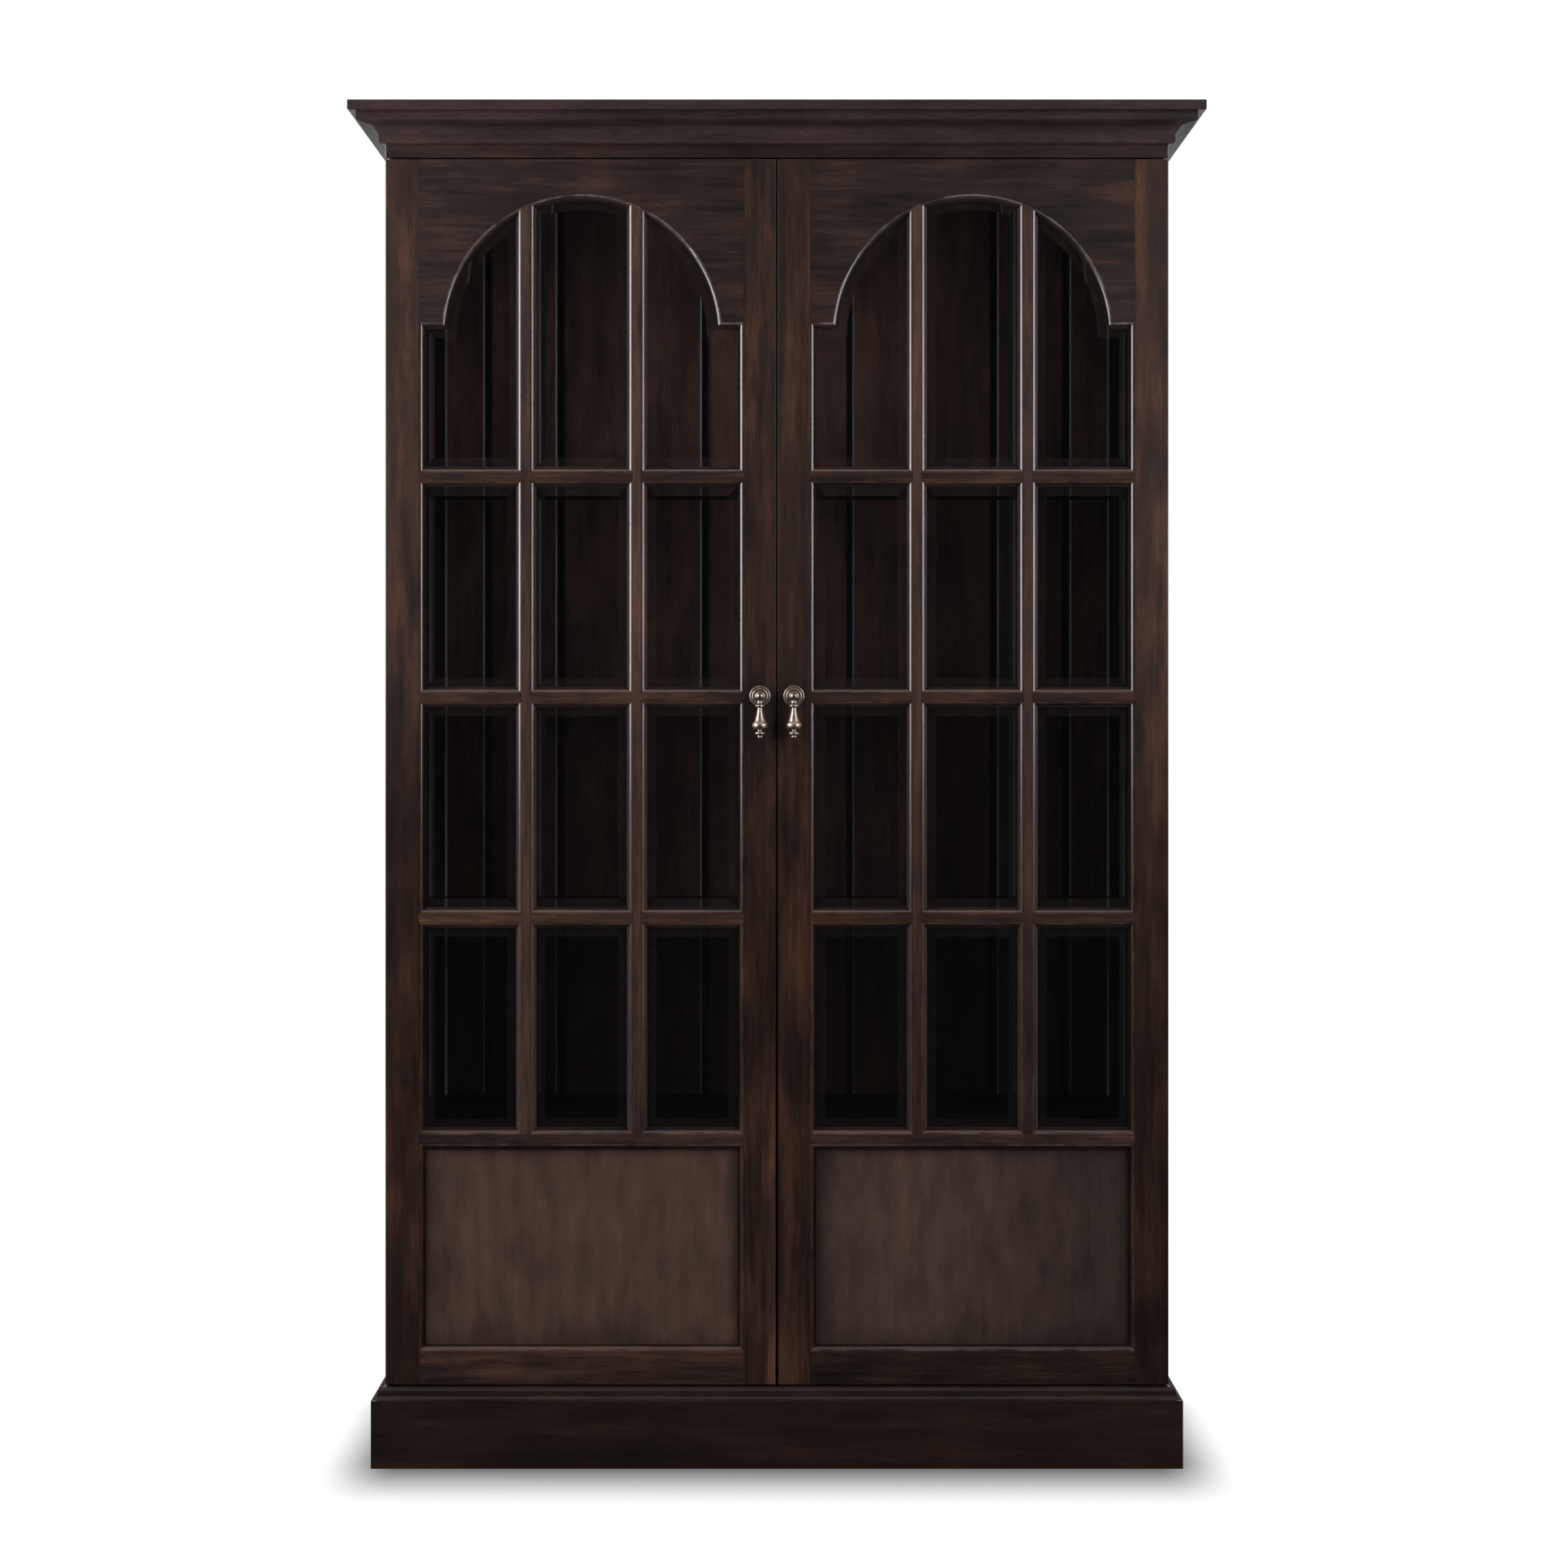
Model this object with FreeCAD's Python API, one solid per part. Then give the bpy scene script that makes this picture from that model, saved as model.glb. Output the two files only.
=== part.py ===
import FreeCAD, Part
import math
import os

V = FreeCAD.Vector
X_AXIS = V(1, 0, 0)
Y_AXIS = V(0, 1, 0)
Z_AXIS = V(0, 0, 1)

# Glazed bookcase. The doors face -Y, the origin is on the floor in the middle of the footprint.

# Overall sizes
TOTAL_HEIGHT = 2235.0
TOTAL_DEPTH = 457.0
CASE_WIDTH = 1288.0

# Case boards
SIDE_THICKNESS = 22.0
CASE_TOP_THICKNESS = 22.0
CASE_BOTTOM_THICKNESS = 22.0
SHELF_THICKNESS = 20.0
SHELF_SETBACK = 8.0
SHELF_EASE = 2.0
HOUSING_DEPTH = 8.0
FIXED_SHELF_RISE = 20.5
EDGE_EASE = 1.2

# Back boards
BACK_BOARD_THICKNESS = 14.0
BACK_BOARD_PITCH = 129.0
BACK_RABBET_WIDTH = 12.0
BACK_FOOT_HEIGHT = 20.0
BOARD_ROUND_SHARE = 0.42
TONGUE_SHARE = 0.5
TONGUE_ENGAGEMENT = 6.0
TONGUE_CLEARANCE = 0.3
BOARD_JOINT_GAP = 10.0
BATTEN_WIDTH = 34.0
BATTEN_DEPTH = 24.0

# Cornice
TOP_BOARD_THICKNESS = 16.5
TOP_BOARD_EASE = 2.0
CROWN_OVERHANG = 54.5
CROWN_BAND_PROJECTION = 42.5
CROWN_BAND_HEIGHT = 14.0
CROWN_BAND_EASE = 3.0
CROWN_SOFFIT_RISE = 3.5
CROWN_COVE_REACH = 13.0
CROWN_COVE_DROP = 15.0
CROWN_NECK_PROJECTION = 9.7
CROWN_NECK_HEIGHT = 9.0
CROWN_FOOT_HEIGHT = 4.5
FRIEZE_HEIGHT = 22.0

# Plinth
PLINTH_HEIGHT = 108.0
PLINTH_OVERHANG = 21.0
PLINTH_BACK_THICKNESS = 20.0
PLINTH_BACK_INSET = 12.0
PLINTH_BLOCK_WIDTH = 50.0
CAP_NOSE_HEIGHT = 3.0
CAP_NOSE_STEP = 1.0
CAP_COVE_REACH = 9.0
CAP_COVE_DROP = 9.5
CAP_ROUND_REACH = 8.5
CAP_ROUND_DROP = 9.5

# Door frames
DOOR_THICKNESS = 26.0
DOOR_END_GAP = 2.4
MEETING_GAP = 2.6
HINGE_STILE_WIDTH = 55.0
MEETING_STILE_WIDTH = 53.2
BOTTOM_RAIL_HEIGHT = 55.2
PANEL_OPENING_HEIGHT = 341.2
MID_RAIL_FACE = 15.0
MUNTIN_FACE = 13.0
ROW_SHARE = 0.2346
TOP_RAIL_HEIGHT = 57.0
SHOULDER_LEDGE = 36.8
SHOULDER_RISE = 20.5
TENON_THICKNESS = 8.0
TENON_LEAF_GAP = 2.0
TENON_SHOULDER = 8.0
STUB_TENON_LENGTH = 7.0
STUB_TENON_SHOULDER = 1.5
MORTISE_SLACK = 0.8

# Moulded edge round every door opening
STICKING_WIDTH = 10.0
QUIRK_DEPTH = 1.2
QUIRK_WIDTH = 1.0
OVOLO_RADIUS = 5.5
FILLET_STEP = 1.1
LIP_THICKNESS = 3.2
RABBET_WIDTH = 6.0

# Glass, its beads and the lower panel
GLASS_THICKNESS = 5.0
GLASS_EDGE_THICKNESS = 2.0
BEVEL_SHOWN = 15.0
GLASS_MARGIN = 1.0
GLASS_BEDDING = 0.1
BEAD_SETBACK = 1.5
BEAD_CHAMFER = 3.0
PANEL_THICKNESS = 8.0
PANEL_GROOVE = 8.0
PANEL_MARGIN = 1.0

# Pivot hinges in the ends of the doors
PIVOT_INSET = 6.0
PIVOT_SETBACK = 8.0
SWING_CLEARANCE = 0.5
LEAF_LENGTH = 32.0
LEAF_THICKNESS = 2.5
LEAF_MARGIN = 1.0
PIN_RADIUS = 2.5
PIN_REACH = 5.0
PIN_FIT = 0.05
PIN_HOLE_SLACK = 0.5
PIVOT_COLLAR_RADIUS = 4.8
PIVOT_COLLAR_FIT = 0.1
LEAF_SCREW_SHARES = (0.42, 0.78)

# Screws
SCREW_HEAD_RADIUS = 3.2
SCREW_HEAD_HEIGHT = 1.8
SCREW_SHANK_RADIUS = 1.6
SCREW_FIT = 0.05
LEAF_SCREW_LENGTH = 18.0
BACK_SCREW_LENGTH = 34.0
CATCH_SCREW_LENGTH = 24.0
STRIKE_SCREW_LENGTH = 12.0

# Door catches
CATCH_LENGTH = 40.0
CATCH_HEIGHT = 12.0
CATCH_DEPTH = 15.0
CATCH_EASE = 1.5
CATCH_FIT = 0.2
STRIKE_LENGTH = 38.0
STRIKE_HEIGHT = 8.0
STRIKE_THICKNESS = 1.0
STRIKE_TOP_MARGIN = 1.2
CATCH_SCREW_SHARES = (-0.33, 0.33)

# Door pulls
PULL_Z = 1265.0
PULL_STANDOFF = 15.0
ROSETTE_RADIUS = 17.0
ROSETTE_HEIGHT = 5.0
ROSETTE_RIM_HEIGHT = 2.6
ROSETTE_GROOVE_HEIGHT = 1.4
ROSETTE_RING_SHARES = (0.48, 0.56, 0.78, 0.84)
STUD_BALL_RADIUS = 6.5
STUD_NECK_RADIUS = 3.6
STUD_SHANK_RADIUS = 2.5
STUD_SHANK_LENGTH = 18.0
STUD_FIT = 0.05
SLOT_WIDTH = 3.2
TANG_THICKNESS = 2.6
TANG_RADIUS = 3.4
SLOT_CLEARANCE = 0.6
PULL_PIN_RADIUS = 1.0
PULL_PIN_FIT = 0.05
PULL_PIN_INSET = 0.6
DROP_START = 7.4
DROP_BEAD_HEIGHT = 6.6
DROP_BEAD_RADIUS = 4.6
DROP_WAIST_RADIUS = 3.6
DROP_COLLAR_HEIGHT = 4.4
DROP_COLLAR_RADIUS = 7.3
DROP_BELL_HEIGHT = 23.6
DROP_BELL_RADIUS = 9.6
DROP_BULB_HEIGHT = 12.4
DROP_BULB_RADIUS = 12.6
DROP_NECK_HEIGHT = 4.0
DROP_DISC_HEIGHT = 5.4
DROP_DISC_RADIUS = 8.3
DROP_TIP_RADIUS = 4.4
BELL_HOLLOW_SHARE = 0.36

# One overrun for all cuts, and how near an edge lies to the plane that names it
OVERRUN = 5.0
EDGE_TOLERANCE = 0.01

# Share of a radius that a point half-way round a quarter turn has on both axes
DIAGONAL_SHARE = math.sqrt(0.5)

# Heights worked out from the sizes above
CAP_HEIGHT = CAP_NOSE_HEIGHT + CAP_COVE_DROP + CAP_ROUND_DROP
PLINTH_TOP_Z = PLINTH_HEIGHT + CAP_HEIGHT
CROWN_HEIGHT = (CROWN_FOOT_HEIGHT + CROWN_NECK_HEIGHT + CROWN_COVE_DROP + CROWN_SOFFIT_RISE
                + CROWN_BAND_HEIGHT)
TOP_BOARD_Z = TOTAL_HEIGHT - TOP_BOARD_THICKNESS
CROWN_Z = TOP_BOARD_Z - CROWN_HEIGHT
FRIEZE_Z = CROWN_Z - FRIEZE_HEIGHT
DOOR_TOP_Z = FRIEZE_Z - DOOR_END_GAP
DOOR_BOTTOM_Z = PLINTH_TOP_Z + DOOR_END_GAP
PANEL_LOW_Z = DOOR_BOTTOM_Z + BOTTOM_RAIL_HEIGHT
PANEL_HIGH_Z = PANEL_LOW_Z + PANEL_OPENING_HEIGHT
MID_RAIL_Z = PANEL_HIGH_Z + MID_RAIL_FACE / 2
FIRST_ROW_Z = PANEL_HIGH_Z + MID_RAIL_FACE
GLAZED_HEIGHT = DOOR_TOP_Z - TOP_RAIL_HEIGHT - FIRST_ROW_Z
ROW_PITCH = ROW_SHARE * GLAZED_HEIGHT
ROW_OPENING = ROW_PITCH - MUNTIN_FACE
ROW_LOW_Z = [FIRST_ROW_Z + row * ROW_PITCH for row in range(4)]
ROW_HIGH_Z = [low + ROW_OPENING for low in ROW_LOW_Z[:3]]
BAR_Z = [high + MUNTIN_FACE / 2 for high in ROW_HIGH_Z]

# Depths worked out from the sizes above
BACK_Y = TOTAL_DEPTH / 2
DOOR_FRONT_Y = CROWN_OVERHANG - TOTAL_DEPTH / 2
DOOR_BACK_Y = DOOR_FRONT_Y + DOOR_THICKNESS
DOOR_CASE_GAP = math.hypot(PIVOT_INSET, PIVOT_SETBACK) - PIVOT_SETBACK + SWING_CLEARANCE
CASE_FRONT_Y = DOOR_BACK_Y + DOOR_CASE_GAP
BOARD_FRONT_Y = BACK_Y - BACK_BOARD_THICKNESS
BOARD_EDGE_ROUND = BOARD_ROUND_SHARE * BACK_BOARD_THICKNESS
BOARD_SHOULDER_Y = BOARD_FRONT_Y + BOARD_EDGE_ROUND
TONGUE_THICKNESS = TONGUE_SHARE * (BACK_Y - BOARD_SHOULDER_Y)
TONGUE_FRONT_Y = (BACK_Y + BOARD_SHOULDER_Y - TONGUE_THICKNESS) / 2
TONGUE_BACK_Y = TONGUE_FRONT_Y + TONGUE_THICKNESS
TONGUE_REACH = BOARD_JOINT_GAP / 2 + TONGUE_ENGAGEMENT
SHELF_FRONT_Y = CASE_FRONT_Y + SHELF_SETBACK
PIVOT_Y = DOOR_BACK_Y - PIVOT_SETBACK

# Widths worked out from the sizes above, for the left half
SIDE_X = CASE_WIDTH / 2
INNER_X = SIDE_X - SIDE_THICKNESS
BACK_X = INNER_X + BACK_RABBET_WIDTH
DOOR_OUT_X = -SIDE_X
DOOR_IN_X = -MEETING_GAP / 2
OPEN_OUT_X = DOOR_OUT_X + HINGE_STILE_WIDTH
OPEN_IN_X = DOOR_IN_X - MEETING_STILE_WIDTH
ARCH_X = (OPEN_OUT_X + OPEN_IN_X) / 2
HALF_OPENING = (OPEN_IN_X - OPEN_OUT_X) / 2
COLUMN_OPENING = (OPEN_IN_X - OPEN_OUT_X - 2 * MUNTIN_FACE) / 3
COLUMN_PITCH = COLUMN_OPENING + MUNTIN_FACE
COLUMN_LOW_X = [OPEN_OUT_X + column * COLUMN_PITCH for column in range(3)]
COLUMN_HIGH_X = [low + COLUMN_OPENING for low in COLUMN_LOW_X]
UPRIGHT_X = [high + MUNTIN_FACE / 2 for high in COLUMN_HIGH_X[:2]]
PIVOT_X = DOOR_OUT_X + PIVOT_INSET
STILE_MIDDLE_X = DOOR_IN_X - MEETING_STILE_WIDTH / 2

# Arch of the door's top rail, where the flat of the rail ends
ARCH_RADIUS = math.hypot(HALF_OPENING - SHOULDER_LEDGE, SHOULDER_RISE)
ARCH_Z = DOOR_TOP_Z - TOP_RAIL_HEIGHT - ARCH_RADIUS
SHOULDER_Z = ARCH_Z + SHOULDER_RISE

# Depths inside the door, measured from its front face
FILLET_DEPTH = QUIRK_DEPTH + OVOLO_RADIUS + FILLET_STEP
SEAT_DEPTH = FILLET_DEPTH + LIP_THICKNESS
GROOVE_BACK_DEPTH = SEAT_DEPTH + PANEL_THICKNESS
RABBET_OFFSET = STICKING_WIDTH - RABBET_WIDTH
GLASS_OFFSET = RABBET_OFFSET + GLASS_MARGIN
FIELD_OFFSET = STICKING_WIDTH + BEVEL_SHOWN
BEVEL_SLOPE = (GLASS_THICKNESS - GLASS_EDGE_THICKNESS) / (FIELD_OFFSET - GLASS_OFFSET)
GLASS_EDGE_DEPTH = SEAT_DEPTH + GLASS_BEDDING + BEVEL_SLOPE * (STICKING_WIDTH - GLASS_OFFSET)
GLASS_BACK_DEPTH = GLASS_EDGE_DEPTH + GLASS_EDGE_THICKNESS
GLASS_FIELD_DEPTH = GLASS_BACK_DEPTH - GLASS_THICKNESS
BEAD_FRONT_DEPTH = GLASS_BACK_DEPTH + GLASS_BEDDING
BEAD_BACK_DEPTH = DOOR_THICKNESS - BEAD_SETBACK
TENON_FRONT_Y = DOOR_FRONT_Y + (DOOR_THICKNESS - TENON_THICKNESS) / 2
TENON_BACK_Y = TENON_FRONT_Y + TENON_THICKNESS
TENON_LENGTH = HINGE_STILE_WIDTH - LEAF_MARGIN - LEAF_LENGTH - TENON_LEAF_GAP


# Shape helpers

def box(x_pair, y_pair, z_pair):
    low = V(min(x_pair), min(y_pair), min(z_pair))
    high = V(max(x_pair), max(y_pair), max(z_pair))
    size = high - low
    return Part.makeBox(size.x, size.y, size.z, low)


def outline_face(start, steps, place):
    """Face bounded by straight steps (end,) and round steps (middle, end), closed by a line."""
    edges = []
    here = start
    for step in steps + [(start,)]:
        end = step[-1]
        if len(step) == 2:
            edges.append(Part.Arc(place(here), place(step[0]), place(end)).toShape())
        else:
            edges.append(Part.makeLine(place(here), place(end)))
        here = end
    return Part.Face(Part.Wire(edges))


def prism(points, travel):
    """Straight-sided prism from a ring of corner points."""
    return Part.Face(Part.makePolygon(points + points[:1])).extrude(travel)


def edges_on(shape, **planes):
    """Edges that lie in all the given coordinate planes, such as x=0 and z=0."""
    found = []
    for edge in shape.Edges:
        bounds = edge.BoundBox
        spans = {"x": (bounds.XMin, bounds.XMax), "y": (bounds.YMin, bounds.YMax),
                 "z": (bounds.ZMin, bounds.ZMax)}
        if all(math.isclose(value, planes[axis], abs_tol=EDGE_TOLERANCE)
               for axis in planes for value in spans[axis]):
            found.append(edge)
    return found


def ease(shape, radius, *lines):
    """Rounds the arrises named by pairs of coordinate planes."""
    edges = [edge for planes in lines for edge in edges_on(shape, **planes)]
    return shape.makeFillet(radius, edges)


def join(core, pieces):
    return core.fuse(pieces).removeSplitter()


def mirror_x(shape, x=0):
    return shape.mirror(V(x, 0, 0), X_AXIS)


def both_sides(shapes):
    return shapes + [mirror_x(shape) for shape in shapes]


def screw(head, direction, length, fit=0):
    """Countersunk screw with its head's face at the given point, or its hole with a fit."""
    head_end = SCREW_HEAD_HEIGHT + fit
    cone = Part.makeCone(SCREW_HEAD_RADIUS + fit, SCREW_SHANK_RADIUS + fit, head_end, head, direction)
    shank = Part.makeCylinder(SCREW_SHANK_RADIUS + fit, length + fit, head, direction)
    return cone.fuse(shank).removeSplitter()


def screw_set(places, direction, length):
    """Screws at the given places and the holes that they need."""
    screws = [screw(place, direction, length) for place in places]
    holes = [screw(place, direction, length, SCREW_FIT) for place in places]
    return screws, holes


# Moulded edge, beads and panes of the door openings

def door_point(x, z):
    return V(x, 0, z)


def sticking_start():
    return (0, QUIRK_DEPTH)


def sticking_front():
    """Quirk, quarter round and fillet, from the flat of the frame to the seat of the glass."""
    round_end = QUIRK_WIDTH + OVOLO_RADIUS
    turn = OVOLO_RADIUS * DIAGONAL_SHARE
    round_middle = (QUIRK_WIDTH + turn, QUIRK_DEPTH + OVOLO_RADIUS - turn)
    return [((QUIRK_WIDTH, QUIRK_DEPTH),),
            (round_middle, (round_end, QUIRK_DEPTH + OVOLO_RADIUS)),
            ((round_end, FILLET_DEPTH),),
            ((STICKING_WIDTH, FILLET_DEPTH),),
            ((STICKING_WIDTH, SEAT_DEPTH),)]


def glass_sticking():
    """Section of the moulded edge with the rabbet for the glass behind it."""
    back = [((RABBET_OFFSET, SEAT_DEPTH),), ((RABBET_OFFSET, DOOR_THICKNESS),), ((0, DOOR_THICKNESS),)]
    return sticking_start(), sticking_front() + back


def panel_sticking():
    """Section of the moulded edge with the groove for the lower panel behind it."""
    groove_offset = STICKING_WIDTH - PANEL_GROOVE
    back = [((groove_offset, SEAT_DEPTH),), ((groove_offset, GROOVE_BACK_DEPTH),),
            ((STICKING_WIDTH, GROOVE_BACK_DEPTH),), ((STICKING_WIDTH, DOOR_THICKNESS),),
            ((0, DOOR_THICKNESS),)]
    return sticking_start(), sticking_front() + back


def bead_section():
    """Section of the strip that holds the glass from behind."""
    start = (RABBET_OFFSET, BEAD_FRONT_DEPTH)
    steps = [((STICKING_WIDTH, BEAD_FRONT_DEPTH),),
             ((STICKING_WIDTH, BEAD_BACK_DEPTH - BEAD_CHAMFER),),
             ((STICKING_WIDTH - BEAD_CHAMFER, BEAD_BACK_DEPTH),),
             ((RABBET_OFFSET, BEAD_BACK_DEPTH),)]
    return start, steps


def mitre_prism(corners):
    """Upright-sided block over a ring of door points, through the door's whole thickness."""
    lift = Y_AXIS * (DOOR_FRONT_Y - OVERRUN)
    return prism([corner + lift for corner in corners], Y_AXIS * (DOOR_THICKNESS + 2 * OVERRUN))


def stretch(inner, outer, length):
    """Point past outer on the line from inner, by the given length."""
    return outer + (outer - inner).normalize() * length


def straight_strip(section, a, b, a_inner=None, b_inner=None):
    """Moulded strip along a straight side. The opening is on the left on the way from a to b."""
    along = (b - a).normalize()
    inward = V(-along.z, 0, along.x)
    if a_inner is None:
        a_inner = a + (inward + along) * STICKING_WIDTH
    if b_inner is None:
        b_inner = b + (inward - along) * STICKING_WIDTH
    first = a - along * (2 * STICKING_WIDTH)
    face = outline_face(*section, lambda p: first + inward * p[0] + Y_AXIS * (DOOR_FRONT_Y + p[1]))
    run = face.extrude(along * ((b - a).Length + 4 * STICKING_WIDTH))
    return run.common(mitre_prism([stretch(a_inner, a, OVERRUN), stretch(b_inner, b, OVERRUN),
                                   stretch(b, b_inner, OVERRUN), stretch(a, a_inner, OVERRUN)]))


def arch_angle(point):
    return math.atan2(point.z - ARCH_Z, point.x - ARCH_X) % math.tau


def arch_strip(section, a, b, a_inner, b_inner):
    """Moulded strip along the arch, from a on the right to b on the left."""
    spare = math.asin(2 * STICKING_WIDTH / ARCH_RADIUS)
    first = arch_angle(a) - spare
    turn = math.degrees(arch_angle(b) + spare - first)
    spoke = V(math.cos(first), 0, math.sin(first))
    hub = door_point(ARCH_X, ARCH_Z)
    face = outline_face(*section, lambda p: hub + spoke * (ARCH_RADIUS - p[0])
                        + Y_AXIS * (DOOR_FRONT_Y + p[1]))
    ring = face.revolve(hub, -Y_AXIS, turn)
    far = ARCH_RADIUS / 2
    return ring.common(mitre_prism([stretch(a, a_inner, OVERRUN), stretch(a_inner, a, far),
                                    stretch(b_inner, b, far), stretch(b, b_inner, OVERRUN)]))


def arch_at(x, offset=0):
    """Point of the arch, drawn in by an offset, straight above x."""
    radius = ARCH_RADIUS - offset
    return door_point(x, ARCH_Z + math.sqrt(radius ** 2 - (x - ARCH_X) ** 2))


def shoulder_at(offset=0):
    """Point where the left shoulder meets the arch, both drawn in by an offset."""
    radius = ARCH_RADIUS - offset
    rise = SHOULDER_RISE - offset
    return door_point(ARCH_X - math.sqrt(radius ** 2 - rise ** 2), ARCH_Z + rise)


def upright_side_top(x, inward):
    """Outer and inner end of an upright's moulding at the arch."""
    return arch_at(x), arch_at(x + inward * STICKING_WIDTH, STICKING_WIDTH)


def rect_strips(section, low_x, high_x, low_z, high_z):
    """The four strips of a square-cornered opening by the name of their side."""
    corners = [door_point(low_x, low_z), door_point(high_x, low_z),
               door_point(high_x, high_z), door_point(low_x, high_z)]
    sides = ("bottom", "right", "top", "left")
    return {side: straight_strip(section, corners[i], corners[(i + 1) % 4]) for i, side in enumerate(sides)}


def arched_side_strips(section):
    """Strips of the arched opening in the left column by the name of their side."""
    low_x = COLUMN_LOW_X[0]
    high_x = COLUMN_HIGH_X[0]
    low_left = door_point(low_x, ROW_LOW_Z[3])
    low_right = door_point(high_x, ROW_LOW_Z[3])
    top, top_inner = upright_side_top(high_x, -1)
    shoulder = shoulder_at()
    shoulder_inner = shoulder_at(STICKING_WIDTH)
    corner = door_point(low_x, SHOULDER_Z)
    return {"bottom": straight_strip(section, low_left, low_right),
            "right": straight_strip(section, low_right, top, b_inner=top_inner),
            "arch": arch_strip(section, top, shoulder, top_inner, shoulder_inner),
            "shoulder": straight_strip(section, shoulder, corner, a_inner=shoulder_inner),
            "left": straight_strip(section, corner, low_left)}


def arched_middle_strips(section):
    """Strips of the arched opening in the middle column by the name of their side."""
    low_x = COLUMN_LOW_X[1]
    high_x = COLUMN_HIGH_X[1]
    low_left = door_point(low_x, ROW_LOW_Z[3])
    low_right = door_point(high_x, ROW_LOW_Z[3])
    right, right_inner = upright_side_top(high_x, -1)
    left, left_inner = upright_side_top(low_x, 1)
    return {"bottom": straight_strip(section, low_left, low_right),
            "right": straight_strip(section, low_right, right, b_inner=right_inner),
            "arch": arch_strip(section, right, left, right_inner, left_inner),
            "left": straight_strip(section, left, low_left, a_inner=left_inner)}


def mirrored_strips(strips):
    """Strips of the right column from those of the left column."""
    swap = {"left": "right", "right": "left"}
    return {swap.get(side, side): mirror_x(strip, ARCH_X) for side, strip in strips.items()}


def opening_strips(section):
    """Strips of all twelve glazed openings, keyed by column and row."""
    strips = {}
    for column in range(3):
        for row in range(3):
            strips[column, row] = rect_strips(section, COLUMN_LOW_X[column], COLUMN_HIGH_X[column],
                                              ROW_LOW_Z[row], ROW_HIGH_Z[row])
    strips[0, 3] = arched_side_strips(section)
    strips[1, 3] = arched_middle_strips(section)
    strips[2, 3] = mirrored_strips(strips[0, 3])
    return strips


def pane_wire(column, row, offset, depth):
    """Outline of a pane of the left or middle column, drawn in from the frame's flat by an offset."""
    low_x = COLUMN_LOW_X[column] + offset
    high_x = COLUMN_HIGH_X[column] - offset
    low_z = ROW_LOW_Z[row] + offset
    lift = Y_AXIS * (DOOR_FRONT_Y + depth)
    bottom = [door_point(low_x, low_z), door_point(high_x, low_z)]
    if row < 3:
        high_z = ROW_HIGH_Z[row] - offset
        ring = bottom + [door_point(high_x, high_z), door_point(low_x, high_z)]
        return Part.makePolygon([point + lift for point in ring + ring[:1]])
    right = arch_at(high_x, offset)
    left = arch_at(low_x, offset) if column == 1 else shoulder_at(offset)
    middle_angle = (arch_angle(right) + arch_angle(left)) / 2
    spoke = V(math.cos(middle_angle), 0, math.sin(middle_angle))
    middle = door_point(ARCH_X, ARCH_Z) + spoke * (ARCH_RADIUS - offset)
    rest = [left] if column == 1 else [left, door_point(low_x, left.z)]
    lower = [point + lift for point in rest + bottom + [right]]
    arc = Part.Arc(right + lift, middle + lift, left + lift).toShape()
    return Part.Wire([arc] + [Part.makeLine(a, b) for a, b in zip(lower, lower[1:])])


def pane(column, row):
    """Bevelled pane: a thin edge in the rabbet and a thicker field."""
    if column == 2:
        return mirror_x(pane(0, row), ARCH_X)
    field = pane_wire(column, row, FIELD_OFFSET, GLASS_FIELD_DEPTH)
    rim = pane_wire(column, row, GLASS_OFFSET, GLASS_EDGE_DEPTH)
    bevel = Part.makeLoft([field, rim], True, True)
    edge = Part.Face(rim).extrude(Y_AXIS * GLASS_EDGE_THICKNESS)
    return bevel.fuse(edge).removeSplitter()


# Door members

def tenon(x_pair, z_pair):
    return box(x_pair, (TENON_FRONT_Y, TENON_BACK_Y), z_pair)


def rail_tenons(low_z, high_z, length, slack=0):
    """Tenons at both ends of a rail, or with slack the mortises for them."""
    reach = length + slack
    return [tenon((OPEN_OUT_X - reach, OPEN_OUT_X), (low_z, high_z)),
            tenon((OPEN_IN_X, OPEN_IN_X + reach), (low_z, high_z))]


def all_rail_tenons(slack=0):
    """Tenons of every rail and bar by the member's name, or with slack their mortises."""
    mid_reach = MID_RAIL_FACE / 2 - STUB_TENON_SHOULDER
    bar_reach = MUNTIN_FACE / 2 - STUB_TENON_SHOULDER
    tenons = {"bottom_rail": rail_tenons(DOOR_BOTTOM_Z + TENON_SHOULDER, PANEL_LOW_Z - TENON_SHOULDER,
                                         TENON_LENGTH, slack),
              "mid_rail": rail_tenons(MID_RAIL_Z - mid_reach, MID_RAIL_Z + mid_reach, TENON_LENGTH, slack),
              "top_rail": rail_tenons(SHOULDER_Z + TENON_SHOULDER, DOOR_TOP_Z - 2 * TENON_SHOULDER,
                                      TENON_LENGTH, slack)}
    for row, z in enumerate(BAR_Z):
        tenons["bar", row] = rail_tenons(z - bar_reach, z + bar_reach, STUB_TENON_LENGTH, slack)
    return tenons


def upright_tenons(slack=0):
    """Stub tenons at the ends of both uprights, or with slack their mortises."""
    reach = MUNTIN_FACE / 2 - STUB_TENON_SHOULDER
    length = STUB_TENON_LENGTH + slack
    tenons = []
    for x in UPRIGHT_X:
        sides = (x - reach, x + reach)
        lowest_arch_z = min(arch_at(x - MUNTIN_FACE / 2).z, arch_at(x + MUNTIN_FACE / 2).z)
        highest_arch_z = max(arch_at(x - MUNTIN_FACE / 2).z, arch_at(x + MUNTIN_FACE / 2).z)
        tenons.append((tenon(sides, (FIRST_ROW_Z - length, FIRST_ROW_Z)),
                       tenon(sides, (lowest_arch_z, highest_arch_z + length))))
    return tenons


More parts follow.
